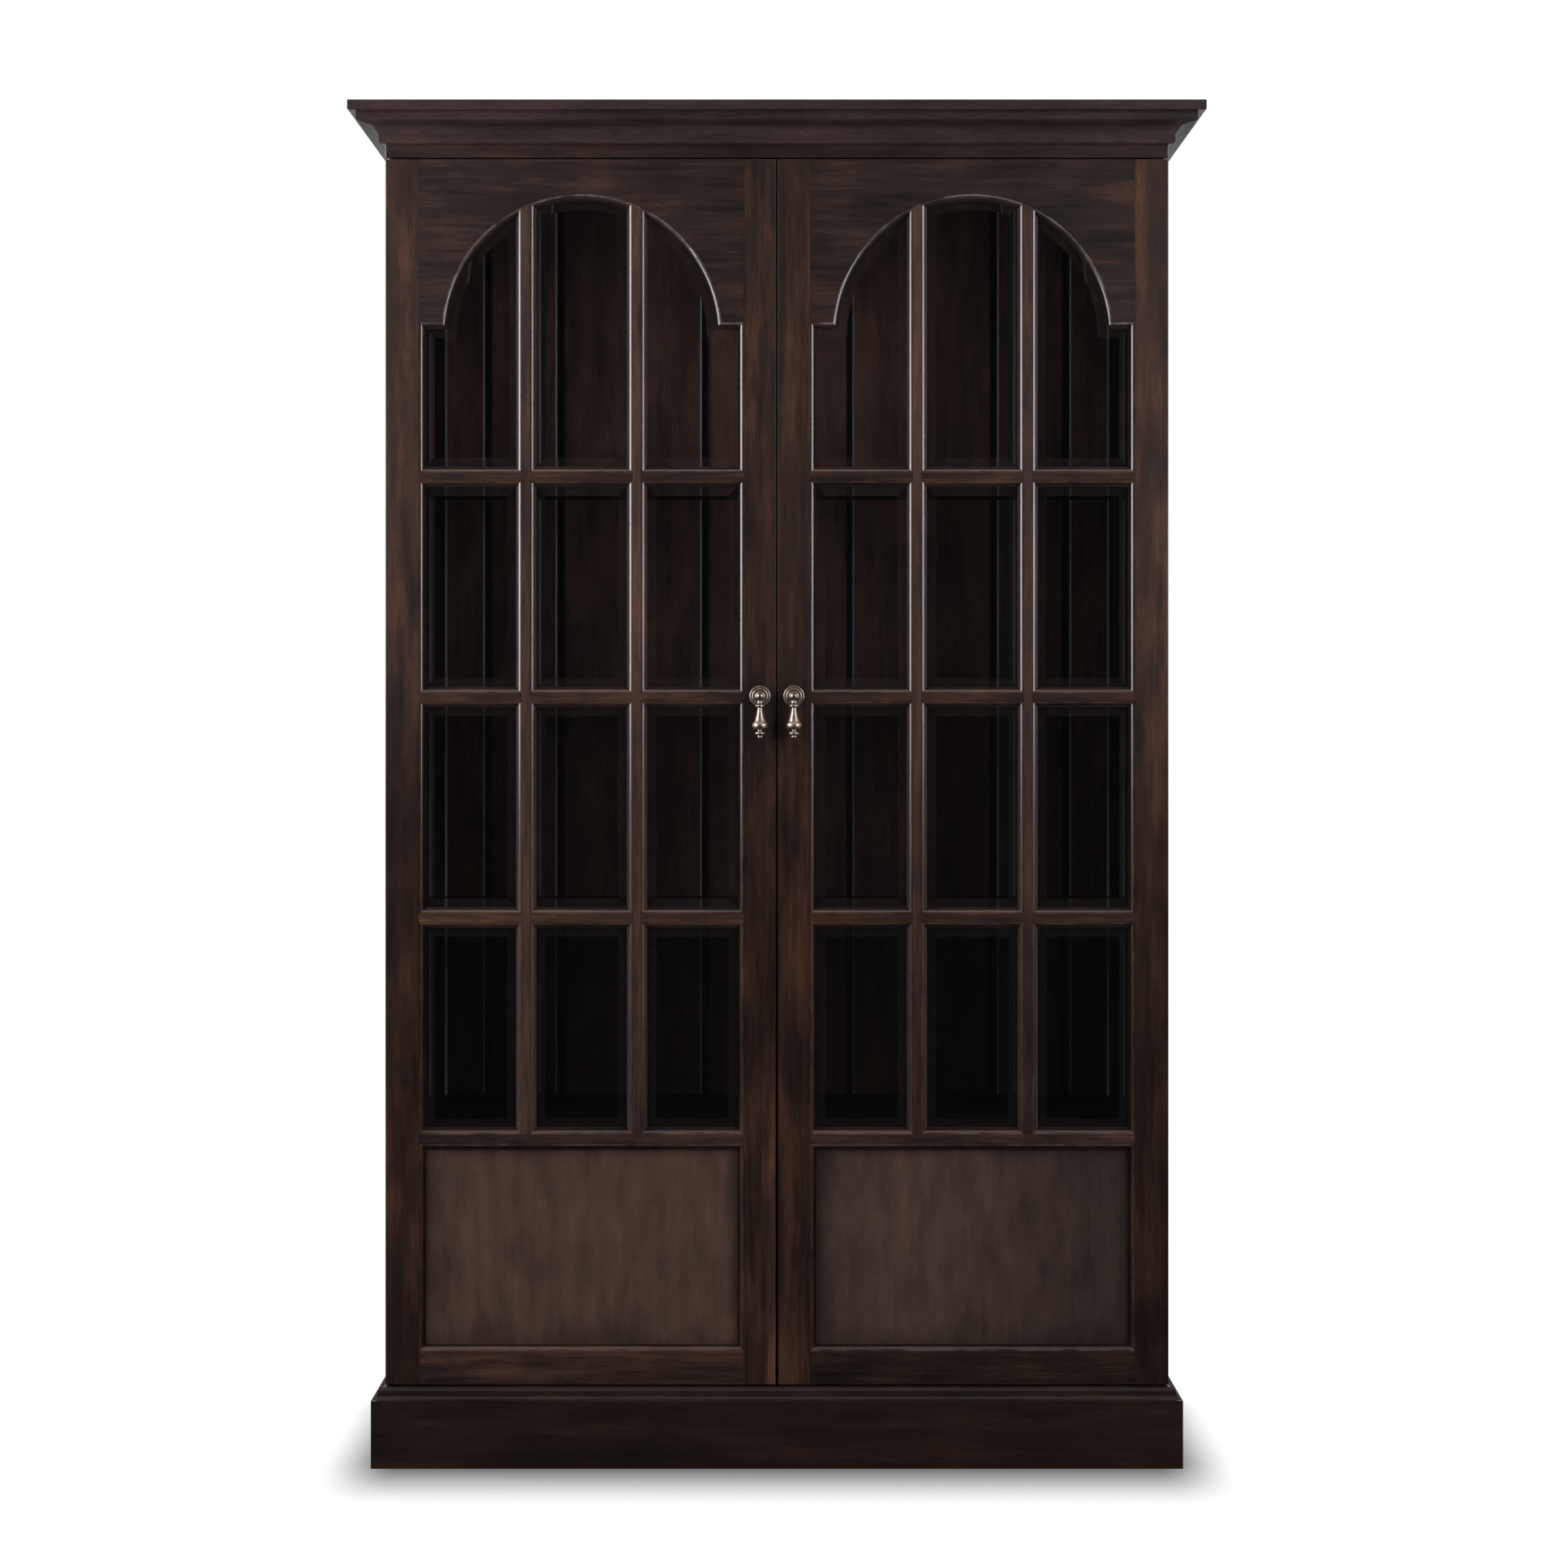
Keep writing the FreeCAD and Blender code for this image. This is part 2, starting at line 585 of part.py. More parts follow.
def stile(outer_x, inner_x, strips):
    """Stile with its moulded edges and the mortises of the rails and bars."""
    core = box((outer_x, inner_x), (DOOR_FRONT_Y, DOOR_BACK_Y), (DOOR_BOTTOM_Z, DOOR_TOP_Z))
    core = ease(core, EDGE_EASE, {"x": outer_x, "y": DOOR_FRONT_Y}, {"x": outer_x, "y": DOOR_BACK_Y},
                {"y": DOOR_FRONT_Y, "z": DOOR_TOP_Z}, {"y": DOOR_FRONT_Y, "z": DOOR_BOTTOM_Z})
    holes = [hole for pair in all_rail_tenons(MORTISE_SLACK).values() for hole in pair]
    return join(core, strips).cut(holes)


def rail_core(low_z, high_z):
    return box((OPEN_OUT_X, OPEN_IN_X), (DOOR_FRONT_Y, DOOR_BACK_Y), (low_z, high_z))


def arch_cylinder(y_pair):
    return Part.makeCylinder(ARCH_RADIUS, y_pair[1] - y_pair[0], V(ARCH_X, y_pair[0], ARCH_Z), Y_AXIS)


def top_rail(glazing, tenons):
    """Rail with an arched lower edge that steps out to a shoulder at each stile."""
    core = ease(rail_core(SHOULDER_Z, DOOR_TOP_Z), EDGE_EASE, {"y": DOOR_FRONT_Y, "z": DOOR_TOP_Z})
    core = core.cut(arch_cylinder((DOOR_FRONT_Y - OVERRUN, DOOR_BACK_Y + OVERRUN)))
    core = core.cut([pair[1] for pair in upright_tenons(MORTISE_SLACK)])
    strips = [glazing[0, 3]["arch"], glazing[0, 3]["shoulder"], glazing[1, 3]["arch"],
              glazing[2, 3]["arch"], glazing[2, 3]["shoulder"]]
    return join(core, strips + tenons["top_rail"])


def mid_rail(glazing, panel, tenons):
    core = rail_core(PANEL_HIGH_Z, FIRST_ROW_Z).cut([pair[0] for pair in upright_tenons(MORTISE_SLACK)])
    strips = [panel["top"]] + [glazing[column, 0]["bottom"] for column in range(3)]
    return join(core, strips + tenons["mid_rail"])


def bottom_rail(panel, tenons):
    core = ease(rail_core(DOOR_BOTTOM_Z, PANEL_LOW_Z), EDGE_EASE, {"y": DOOR_FRONT_Y, "z": DOOR_BOTTOM_Z})
    return join(core, [panel["bottom"]] + tenons["bottom_rail"])


def crossing(x, z, y_pair):
    """Half of the block where an upright and a bar cross."""
    half = MUNTIN_FACE / 2
    return box((x - half, x + half), y_pair, (z - half, z + half))


def muntin_bar(row, glazing, tenons):
    """Bar with moulded edges, lapped behind the uprights."""
    z = BAR_Z[row]
    core = rail_core(z - MUNTIN_FACE / 2, z + MUNTIN_FACE / 2)
    lap_y = (DOOR_FRONT_Y, DOOR_FRONT_Y + DOOR_THICKNESS / 2)
    core = core.cut([crossing(x, z, lap_y) for x in UPRIGHT_X])
    strips = [glazing[column, row]["top"] for column in range(3)]
    strips += [glazing[column, row + 1]["bottom"] for column in range(3)]
    return join(core, strips + tenons["bar", row])


def muntin_upright(side, glazing):
    """Upright with moulded edges, lapped over the bars and coped to the arch."""
    x = UPRIGHT_X[side]
    core = box((x - MUNTIN_FACE / 2, x + MUNTIN_FACE / 2), (DOOR_FRONT_Y, DOOR_BACK_Y),
               (FIRST_ROW_Z, DOOR_TOP_Z))
    below_arch = box((OPEN_OUT_X, OPEN_IN_X), (DOOR_FRONT_Y, DOOR_BACK_Y), (FIRST_ROW_Z, ARCH_Z))
    core = core.common(below_arch.fuse(arch_cylinder((DOOR_FRONT_Y, DOOR_BACK_Y))))
    lap_y = (DOOR_FRONT_Y + DOOR_THICKNESS / 2, DOOR_BACK_Y)
    core = core.cut([crossing(x, z, lap_y) for z in BAR_Z])
    strips = [glazing[side, row]["right"] for row in range(4)]
    strips += [glazing[side + 1, row]["left"] for row in range(4)]
    return join(core, strips + list(upright_tenons()[side]))


def lower_panel():
    """Flat panel, free in the groove of the frame round it."""
    offset = STICKING_WIDTH - PANEL_GROOVE + PANEL_MARGIN
    return box((OPEN_OUT_X + offset, OPEN_IN_X - offset),
               (DOOR_FRONT_Y + SEAT_DEPTH, DOOR_FRONT_Y + GROOVE_BACK_DEPTH),
               (PANEL_LOW_Z + offset, PANEL_HIGH_Z - offset))


# Pivot hinges

def leaf_block(z_pair):
    """Block of a pivot leaf at the left door's hinge corner."""
    first = DOOR_OUT_X + LEAF_MARGIN
    half = PIVOT_SETBACK - LEAF_MARGIN
    return box((first, first + LEAF_LENGTH), (PIVOT_Y - half, PIVOT_Y + half), z_pair)


def leaf_screw_places(z):
    first = DOOR_OUT_X + LEAF_MARGIN
    return [V(first + share * LEAF_LENGTH, PIVOT_Y, z) for share in LEAF_SCREW_SHARES]


def pivot_rod(radius, z, direction, length):
    return Part.makeCylinder(radius, length, V(PIVOT_X, PIVOT_Y, z), direction)


def pivot_end(case_z, door_z):
    """Plate with collar and pin on the case, leaf in the door, their screws and the cuts for them."""
    out_of_case = Z_AXIS * math.copysign(1, door_z - case_z)
    into_case = -out_of_case
    case_block = leaf_block((case_z, case_z + into_case.z * LEAF_THICKNESS))
    door_block = leaf_block((door_z, door_z + out_of_case.z * LEAF_THICKNESS))
    collar = pivot_rod(PIVOT_COLLAR_RADIUS, case_z, out_of_case, DOOR_END_GAP - PIVOT_COLLAR_FIT)
    pin_length = DOOR_END_GAP + LEAF_THICKNESS + PIN_REACH
    pin = pivot_rod(PIN_RADIUS, case_z, out_of_case, pin_length)
    bearing = pivot_rod(PIN_RADIUS + PIN_FIT, case_z, out_of_case, pin_length)
    bore = pivot_rod(PIN_RADIUS + PIN_HOLE_SLACK, case_z, out_of_case, pin_length + PIN_HOLE_SLACK)
    case_screws, case_holes = screw_set(leaf_screw_places(case_z), into_case, LEAF_SCREW_LENGTH)
    door_screws, door_holes = screw_set(leaf_screw_places(door_z), out_of_case, LEAF_SCREW_LENGTH)
    return {"plate": join(case_block.cut(case_holes), [collar, pin]),
            "leaf": door_block.cut(door_holes + [bearing]),
            "case_screws": case_screws, "case_cuts": [case_block] + case_holes,
            "door_screws": door_screws, "door_cuts": [door_block, bore] + door_holes}


# Catches and pulls

def strike_place():
    """Middle of the strike plate on the back of the meeting stile."""
    return V(STILE_MIDDLE_X, DOOR_BACK_Y, DOOR_TOP_Z - STRIKE_TOP_MARGIN - STRIKE_HEIGHT / 2)


def strike_plate():
    middle = strike_place()
    plate = box((middle.x - STRIKE_LENGTH / 2, middle.x + STRIKE_LENGTH / 2),
                (DOOR_BACK_Y, DOOR_BACK_Y + STRIKE_THICKNESS),
                (middle.z - STRIKE_HEIGHT / 2, middle.z + STRIKE_HEIGHT / 2))
    places = [middle + V(share * STRIKE_LENGTH, STRIKE_THICKNESS, 0) for share in CATCH_SCREW_SHARES]
    screws, holes = screw_set(places, -Y_AXIS, STRIKE_SCREW_LENGTH)
    return plate.cut(holes), screws, holes


def door_catch():
    """Magnet housing under the case top, opposite the strike plate."""
    front_y = DOOR_BACK_Y + STRIKE_THICKNESS + CATCH_FIT
    low_z = FRIEZE_Z - CATCH_HEIGHT
    housing = box((STILE_MIDDLE_X - CATCH_LENGTH / 2, STILE_MIDDLE_X + CATCH_LENGTH / 2),
                  (front_y, front_y + CATCH_DEPTH), (low_z, FRIEZE_Z))
    housing = ease(housing, CATCH_EASE, {"y": front_y, "z": low_z}, {"y": front_y + CATCH_DEPTH, "z": low_z})
    middle = V(STILE_MIDDLE_X, (CASE_FRONT_Y + front_y + CATCH_DEPTH) / 2, low_z)
    places = [middle + X_AXIS * (share * CATCH_LENGTH) for share in CATCH_SCREW_SHARES]
    screws, holes = screw_set(places, Z_AXIS, CATCH_SCREW_LENGTH)
    return housing.cut(holes), screws, holes


def turned(start, steps, centre, across, axis):
    """Solid of revolution from an outline of (radius, travel) points along an axis."""
    face = outline_face(start, steps, lambda p: centre + across * p[0] + axis * p[1])
    return face.revolve(centre, axis, 360)


def pull_centre():
    """Centre of the stud's ball, where the drop hangs."""
    return V(STILE_MIDDLE_X, DOOR_FRONT_Y - PULL_STANDOFF, PULL_Z)


def pull_rosette():
    """Back plate with a rounded rim, a raised ring and a cup at the middle."""
    cup, ring_in, ring_out, rim_in = [share * ROSETTE_RADIUS for share in ROSETTE_RING_SHARES]
    bore = STUD_NECK_RADIUS + STUD_FIT
    ring_top = (ROSETTE_HEIGHT + ROSETTE_RIM_HEIGHT) / 2
    steps = [((ROSETTE_RADIUS, 0),),
             (((ROSETTE_RADIUS + rim_in) / 2, ROSETTE_RIM_HEIGHT), (rim_in, ROSETTE_GROOVE_HEIGHT)),
             ((ring_out, ROSETTE_GROOVE_HEIGHT),),
             (((ring_in + ring_out) / 2, ring_top), (ring_in, ROSETTE_GROOVE_HEIGHT)),
             ((cup, ROSETTE_GROOVE_HEIGHT),),
             (((cup + bore) / 2, ROSETTE_HEIGHT), (bore, ROSETTE_RIM_HEIGHT))]
    seat = V(STILE_MIDDLE_X, DOOR_FRONT_Y, PULL_Z)
    return turned((bore, 0), steps, seat, X_AXIS, -Y_AXIS)


def pull_stud():
    """Ball with a slot for the drop, on a neck and a shank that goes into the stile."""
    centre = pull_centre()
    ball = Part.makeSphere(STUD_BALL_RADIUS, centre)
    neck = Part.makeCylinder(STUD_NECK_RADIUS, PULL_STANDOFF, centre, Y_AXIS)
    shank = Part.makeCylinder(STUD_SHANK_RADIUS, PULL_STANDOFF + STUD_SHANK_LENGTH, centre, Y_AXIS)
    back_y = centre.y + TANG_RADIUS + SLOT_CLEARANCE
    slot = box((centre.x - SLOT_WIDTH / 2, centre.x + SLOT_WIDTH / 2),
               (centre.y - 2 * STUD_BALL_RADIUS, back_y),
               (centre.z - 2 * STUD_BALL_RADIUS, centre.z + 2 * STUD_BALL_RADIUS))
    return ball.fuse([neck, shank]).cut([slot, pull_pin()]).removeSplitter()


def pull_pin(fit=0):
    """Cross pin of the pull, or with a fit the eye that turns on it."""
    length = 2 * (STUD_BALL_RADIUS - PULL_PIN_INSET)
    return Part.makeCylinder(PULL_PIN_RADIUS + fit, length, pull_centre() - X_AXIS * (length / 2), X_AXIS)


def pull_drop():
    """Teardrop: a flat eye on the pin, then bead, collar, bell, bulb, disc and tip turned below it."""
    bead_end = DROP_START + DROP_BEAD_HEIGHT
    collar_end = bead_end + DROP_COLLAR_HEIGHT
    bell_end = collar_end + DROP_BELL_HEIGHT
    bulb_end = bell_end + DROP_BULB_HEIGHT
    neck_end = bulb_end + DROP_NECK_HEIGHT
    disc_end = neck_end + DROP_DISC_HEIGHT
    tip_middle = disc_end + math.sqrt(DROP_TIP_RADIUS ** 2 - DROP_WAIST_RADIUS ** 2)
    bell_middle = DROP_WAIST_RADIUS + BELL_HOLLOW_SHARE * (DROP_BELL_RADIUS - DROP_WAIST_RADIUS)
    steps = [((DROP_WAIST_RADIUS, DROP_START),),
             ((DROP_BEAD_RADIUS, (DROP_START + bead_end) / 2), (DROP_WAIST_RADIUS, bead_end)),
             ((DROP_COLLAR_RADIUS, (bead_end + collar_end) / 2), (DROP_WAIST_RADIUS, collar_end)),
             ((bell_middle, (collar_end + bell_end) / 2), (DROP_BELL_RADIUS, bell_end)),
             ((DROP_BULB_RADIUS, (bell_end + bulb_end) / 2), (DROP_BELL_RADIUS, bulb_end)),
             ((DROP_WAIST_RADIUS, bulb_end),),
             ((DROP_WAIST_RADIUS, neck_end),),
             ((DROP_DISC_RADIUS, (neck_end + disc_end) / 2), (DROP_WAIST_RADIUS, disc_end)),
             ((DROP_TIP_RADIUS, tip_middle), (0, tip_middle + DROP_TIP_RADIUS))]
    centre = pull_centre()
    body = turned((0, DROP_START), steps, centre, X_AXIS, -Z_AXIS)
    half = TANG_THICKNESS / 2
    eye = Part.makeCylinder(TANG_RADIUS, TANG_THICKNESS, centre - X_AXIS * half, X_AXIS)
    stem = box((centre.x - half, centre.x + half), (centre.y - TANG_RADIUS, centre.y + TANG_RADIUS),
               (centre.z - DROP_START - DROP_BEAD_HEIGHT / 2, centre.z))
    return body.fuse([eye, stem]).cut(pull_pin(PULL_PIN_FIT)).removeSplitter()


# Doors

def left_door():
    """Pieces of the left door by name, with the screws and cuts of the case at its pivots."""
    glazing = opening_strips(glass_sticking())
    panel = rect_strips(panel_sticking(), OPEN_OUT_X, OPEN_IN_X, PANEL_LOW_Z, PANEL_HIGH_Z)
    tenons = all_rail_tenons()
    ends = {"top": pivot_end(FRIEZE_Z, DOOR_TOP_Z), "bottom": pivot_end(PLINTH_TOP_Z, DOOR_BOTTOM_Z)}
    plate, strike_screws, strike_holes = strike_plate()
    shank = Part.makeCylinder(STUD_SHANK_RADIUS + STUD_FIT, STUD_SHANK_LENGTH + STUD_FIT,
                              V(STILE_MIDDLE_X, DOOR_FRONT_Y, PULL_Z), Y_AXIS)
    hinge_strips = [glazing[0, row]["left"] for row in range(4)] + [panel["left"]]
    meeting_strips = [glazing[2, row]["right"] for row in range(4)] + [panel["right"]]
    hinge_cuts = ends["top"]["door_cuts"] + ends["bottom"]["door_cuts"]
    beads = opening_strips(bead_section())
    pieces = {
        "hinge_stile": stile(DOOR_OUT_X, OPEN_OUT_X, hinge_strips).cut(hinge_cuts),
        "meeting_stile": stile(DOOR_IN_X, OPEN_IN_X, meeting_strips).cut(strike_holes + [shank]),
        "top_rail": top_rail(glazing, tenons),
        "mid_rail": mid_rail(glazing, panel, tenons),
        "bottom_rail": bottom_rail(panel, tenons),
        "muntin_uprights": [muntin_upright(side, glazing) for side in range(2)],
        "muntin_bars": [muntin_bar(row, glazing, tenons) for row in range(3)],
        "lower_panel": lower_panel(),
        "glass_panes": [pane(column, row) for column in range(3) for row in range(4)],
        "glazing_beads": [strip for strips in beads.values() for strip in strips.values()],
        "pivot_leaves": [ends["top"]["leaf"], ends["bottom"]["leaf"]],
        "strike_plate": plate,
        "door_screws": ends["top"]["door_screws"] + ends["bottom"]["door_screws"] + strike_screws,
        "pull_rosette": pull_rosette(),
        "pull_stud": pull_stud(),
        "pull_pin": pull_pin(),
        "pull_drop": pull_drop()}
    return pieces, ends


# Case

def housings(rows):
    """Grooves in the left side for the boards at the given heights."""
    return [box((-INNER_X - HOUSING_DEPTH, -INNER_X), (front_y, BOARD_FRONT_Y), (low_z, high_z))
            for low_z, high_z, front_y in rows]


def board_rows():
    """Lower face, upper face and front edge of every board that is let into the sides."""
    rows = {"case_bottom": (PLINTH_TOP_Z, PLINTH_TOP_Z + CASE_BOTTOM_THICKNESS, CASE_FRONT_Y),
            "case_top": (FRIEZE_Z, FRIEZE_Z + CASE_TOP_THICKNESS, CASE_FRONT_Y)}
    fixed_top_z = MID_RAIL_Z + FIXED_SHELF_RISE
    rows["fixed_shelf"] = (fixed_top_z - SHELF_THICKNESS, fixed_top_z, SHELF_FRONT_Y)
    for name, z in zip(("shelf_lower", "shelf_middle", "shelf_upper"), BAR_Z):
        rows[name] = (z - SHELF_THICKNESS / 2, z + SHELF_THICKNESS / 2, SHELF_FRONT_Y)
    return rows


def side_left():
    """Side panel with grooves for the boards and a rabbet for the back."""
    panel = box((-SIDE_X, -INNER_X), (CASE_FRONT_Y, BACK_Y), (0, TOP_BOARD_Z))
    panel = ease(panel, EDGE_EASE, {"x": -SIDE_X, "y": CASE_FRONT_Y}, {"x": -SIDE_X, "y": BACK_Y})
    rabbet = box((-BACK_X, -INNER_X), (BOARD_FRONT_Y, BACK_Y + OVERRUN),
                 (BACK_FOOT_HEIGHT, TOP_BOARD_Z + OVERRUN))
    return panel.cut(housings(board_rows().values()) + [rabbet])


def housed_board(low_z, high_z, front_y):
    reach = INNER_X + HOUSING_DEPTH
    return box((-reach, reach), (front_y, BOARD_FRONT_Y), (low_z, high_z))


def batten_left(low_z, high_z):
    return box((-INNER_X, BATTEN_WIDTH - INNER_X), (BOARD_FRONT_Y - BATTEN_DEPTH, BOARD_FRONT_Y),
               (low_z, high_z))


def shelf(low_z, high_z, front_y):
    """Shelf with an eased front edge, notched round the corner battens."""
    board = ease(housed_board(low_z, high_z, front_y), SHELF_EASE, {"y": front_y, "z": low_z},
                 {"y": front_y, "z": high_z})
    notch = box((-SIDE_X, BATTEN_WIDTH - INNER_X),
                (BOARD_FRONT_Y - BATTEN_DEPTH, BOARD_FRONT_Y + OVERRUN), (low_z, high_z))
    return board.cut(both_sides([notch]))


def back_board_lines():
    """Joint lines of the back boards from left to right, with the outer edges at the rabbets."""
    count = math.ceil(BACK_X / BACK_BOARD_PITCH)
    inner = [line * BACK_BOARD_PITCH for line in range(1 - count, count)]
    return [-BACK_X] + inner + [BACK_X]


def back_board(low_x, high_x):
    """Tongued board with rounded front edges at its joints."""
    lip = BOARD_JOINT_GAP / 2
    turn = BOARD_EDGE_ROUND * (1 - DIAGONAL_SHARE)
    left_x = low_x if low_x == -BACK_X else low_x + lip
    right_x = high_x if high_x == BACK_X else high_x - lip
    steps = [((left_x + turn, BOARD_FRONT_Y + turn), (left_x + BOARD_EDGE_ROUND, BOARD_FRONT_Y)),
             ((right_x - BOARD_EDGE_ROUND, BOARD_FRONT_Y),),
             ((right_x - turn, BOARD_FRONT_Y + turn), (right_x, BOARD_SHOULDER_Y))]
    if high_x < BACK_X:
        tongue_x = high_x + TONGUE_REACH
        steps += [((right_x, TONGUE_FRONT_Y),), ((tongue_x, TONGUE_FRONT_Y),),
                  ((tongue_x, TONGUE_BACK_Y),), ((high_x, TONGUE_BACK_Y),)]
    steps += [((high_x, BACK_Y),), ((low_x, BACK_Y),)]
    if low_x > -BACK_X:
        groove_x = low_x + TONGUE_REACH + TONGUE_CLEARANCE
        groove_back_y = TONGUE_BACK_Y + TONGUE_CLEARANCE
        groove_front_y = TONGUE_FRONT_Y - TONGUE_CLEARANCE
        steps += [((low_x, groove_back_y),), ((groove_x, groove_back_y),),
                  ((groove_x, groove_front_y),), ((left_x, groove_front_y),)]
    face = outline_face((left_x, BOARD_SHOULDER_Y), steps, lambda p: V(p[0], p[1], TOP_BOARD_Z))
    return face.extrude(Z_AXIS * (BACK_FOOT_HEIGHT - TOP_BOARD_Z))


def back_screw_places():
    """Screw places on the back, one in the middle of each board at every board of the case."""
    lines = back_board_lines()
    middles = [(a + b) / 2 for a, b in zip(lines, lines[1:])]
    heights = [(row[0] + row[1]) / 2 for row in board_rows().values()]
    return [V(x, BACK_Y, z) for z in heights for x in middles]


# Mitred mouldings of the cornice and the plinth

def mitre_plan(reach):
    """Plan corners of a mitred front piece and of its left return, past the moulding by a reach."""
    inner = V(-SIDE_X, DOOR_FRONT_Y, 0)
    outer = inner - V(reach, reach, 0)
    front = [mirror_point(inner), inner, outer, mirror_point(outer)]
    left = [inner, V(inner.x, BACK_Y, 0), V(outer.x, BACK_Y, 0), outer]
    return front, left


def mirror_point(point):
    return V(-point.x, point.y, point.z)


def mitred_set(start, steps, reach, low_z, height):
    """Front piece and two returns of a moulding, from an outline of (projection, height) points."""
    front_plan, left_plan = mitre_plan(reach + OVERRUN)
    lift = Z_AXIS * low_z
    front_face = outline_face(start, steps,
                              lambda p: V(-SIDE_X - 2 * reach, DOOR_FRONT_Y - p[0], low_z + p[1]))
    front = front_face.extrude(X_AXIS * (CASE_WIDTH + 4 * reach))
    left_face = outline_face(start, steps,
                             lambda p: V(-SIDE_X - p[0], DOOR_FRONT_Y - 2 * reach, low_z + p[1]))
    left = left_face.extrude(Y_AXIS * (BACK_Y - DOOR_FRONT_Y + 2 * reach))
    front = front.common(prism([corner + lift for corner in front_plan], Z_AXIS * height))
    left = left.common(prism([corner + lift for corner in left_plan], Z_AXIS * height))
    return front, left, mirror_x(left)


def crown_pieces():
    """Crown moulding: foot, neck, cove, soffit and band."""
    neck_top = CROWN_FOOT_HEIGHT + CROWN_NECK_HEIGHT
    cove_top = neck_top + CROWN_COVE_DROP
    cove_out = CROWN_NECK_PROJECTION + CROWN_COVE_REACH
    soffit_top = cove_top + CROWN_SOFFIT_RISE
    quarter = DIAGONAL_SHARE
    foot_in = CROWN_NECK_PROJECTION - CROWN_FOOT_HEIGHT
    band_in = CROWN_BAND_PROJECTION - CROWN_BAND_EASE
    steps = [((foot_in, 0),),
             ((foot_in + CROWN_FOOT_HEIGHT * quarter, CROWN_FOOT_HEIGHT * (1 - quarter)),
              (CROWN_NECK_PROJECTION, CROWN_FOOT_HEIGHT)),
             ((CROWN_NECK_PROJECTION, neck_top),),
             ((cove_out - CROWN_COVE_REACH * quarter, neck_top + CROWN_COVE_DROP * quarter),
              (cove_out, cove_top)),
             ((band_in, soffit_top),),
             ((band_in + CROWN_BAND_EASE * quarter, soffit_top + CROWN_BAND_EASE * (1 - quarter)),
              (CROWN_BAND_PROJECTION, soffit_top + CROWN_BAND_EASE)),
             ((CROWN_BAND_PROJECTION, CROWN_HEIGHT),),
             ((0, CROWN_HEIGHT),)]
    return mitred_set((0, 0), steps, CROWN_BAND_PROJECTION, CROWN_Z, CROWN_HEIGHT)


def cap_outline():
    """Plinth cap: nose, hollow and round, from its lower outer edge up to its top."""
    nose_in = PLINTH_OVERHANG - CAP_NOSE_STEP
    cove_in = nose_in - CAP_COVE_REACH
    round_in = cove_in - CAP_ROUND_REACH
    cove_top = CAP_NOSE_HEIGHT + CAP_COVE_DROP
    quarter = DIAGONAL_SHARE
    return [((PLINTH_OVERHANG, 0),),
            ((PLINTH_OVERHANG, CAP_NOSE_HEIGHT),),
            ((nose_in, CAP_NOSE_HEIGHT),),
            ((nose_in - CAP_COVE_REACH * quarter, cove_top - CAP_COVE_DROP * quarter),
             (cove_in, cove_top)),
            ((round_in + CAP_ROUND_REACH * quarter, cove_top + CAP_ROUND_DROP * quarter),
             (round_in, CAP_HEIGHT)),
            ((0, CAP_HEIGHT),)]


def plinth_cap_pieces():
    """Cap pieces. The front one also makes the ledge under the doors."""
    front, left, right = mitred_set((0, 0), cap_outline(), PLINTH_OVERHANG, PLINTH_HEIGHT, CAP_HEIGHT)
    ledge = box((-SIDE_X, SIDE_X), (DOOR_FRONT_Y, CASE_FRONT_Y), (PLINTH_HEIGHT, PLINTH_TOP_Z))
    return join(front, [ledge]), left, right


def plinth_boards():
    steps = [((PLINTH_OVERHANG, 0),), ((PLINTH_OVERHANG, PLINTH_HEIGHT),), ((0, PLINTH_HEIGHT),)]
    return mitred_set((0, 0), steps, PLINTH_OVERHANG, 0, PLINTH_HEIGHT)


def plinth_blocks():
    """Blocks between the plinth front and the case, at both ends and in the middle."""
    depth = (DOOR_FRONT_Y, CASE_FRONT_Y)
    end = box((-SIDE_X, PLINTH_BLOCK_WIDTH - SIDE_X), depth, (0, PLINTH_HEIGHT))
    middle = box((-PLINTH_BLOCK_WIDTH / 2, PLINTH_BLOCK_WIDTH / 2), depth, (0, PLINTH_HEIGHT))
    return both_sides([end]) + [middle]


def plinth_back():
    back_y = BOARD_FRONT_Y - PLINTH_BACK_INSET
    return box((-INNER_X, INNER_X), (back_y - PLINTH_BACK_THICKNESS, back_y), (0, PLINTH_TOP_Z))


def cornice_top():
    """Top board, whose edge is the fascia of the cornice."""
    reach = SIDE_X + CROWN_OVERHANG
    board = box((-reach, reach), (-BACK_Y, BACK_Y), (TOP_BOARD_Z, TOTAL_HEIGHT))
    lines = [{"z": z, **side} for z in (TOP_BOARD_Z, TOTAL_HEIGHT)
             for side in ({"x": -reach}, {"x": reach}, {"y": -BACK_Y})]
    return ease(board, TOP_BOARD_EASE, *lines)


def frieze_rail():
    """Rail above the doors that carries the crown and the upper pivots."""
    rail = box((-SIDE_X, SIDE_X), (DOOR_FRONT_Y, CASE_FRONT_Y), (FRIEZE_Z, TOP_BOARD_Z))
    return ease(rail, EDGE_EASE, {"x": -SIDE_X, "y": DOOR_FRONT_Y}, {"x": SIDE_X, "y": DOOR_FRONT_Y},
                {"y": DOOR_FRONT_Y, "z": FRIEZE_Z})


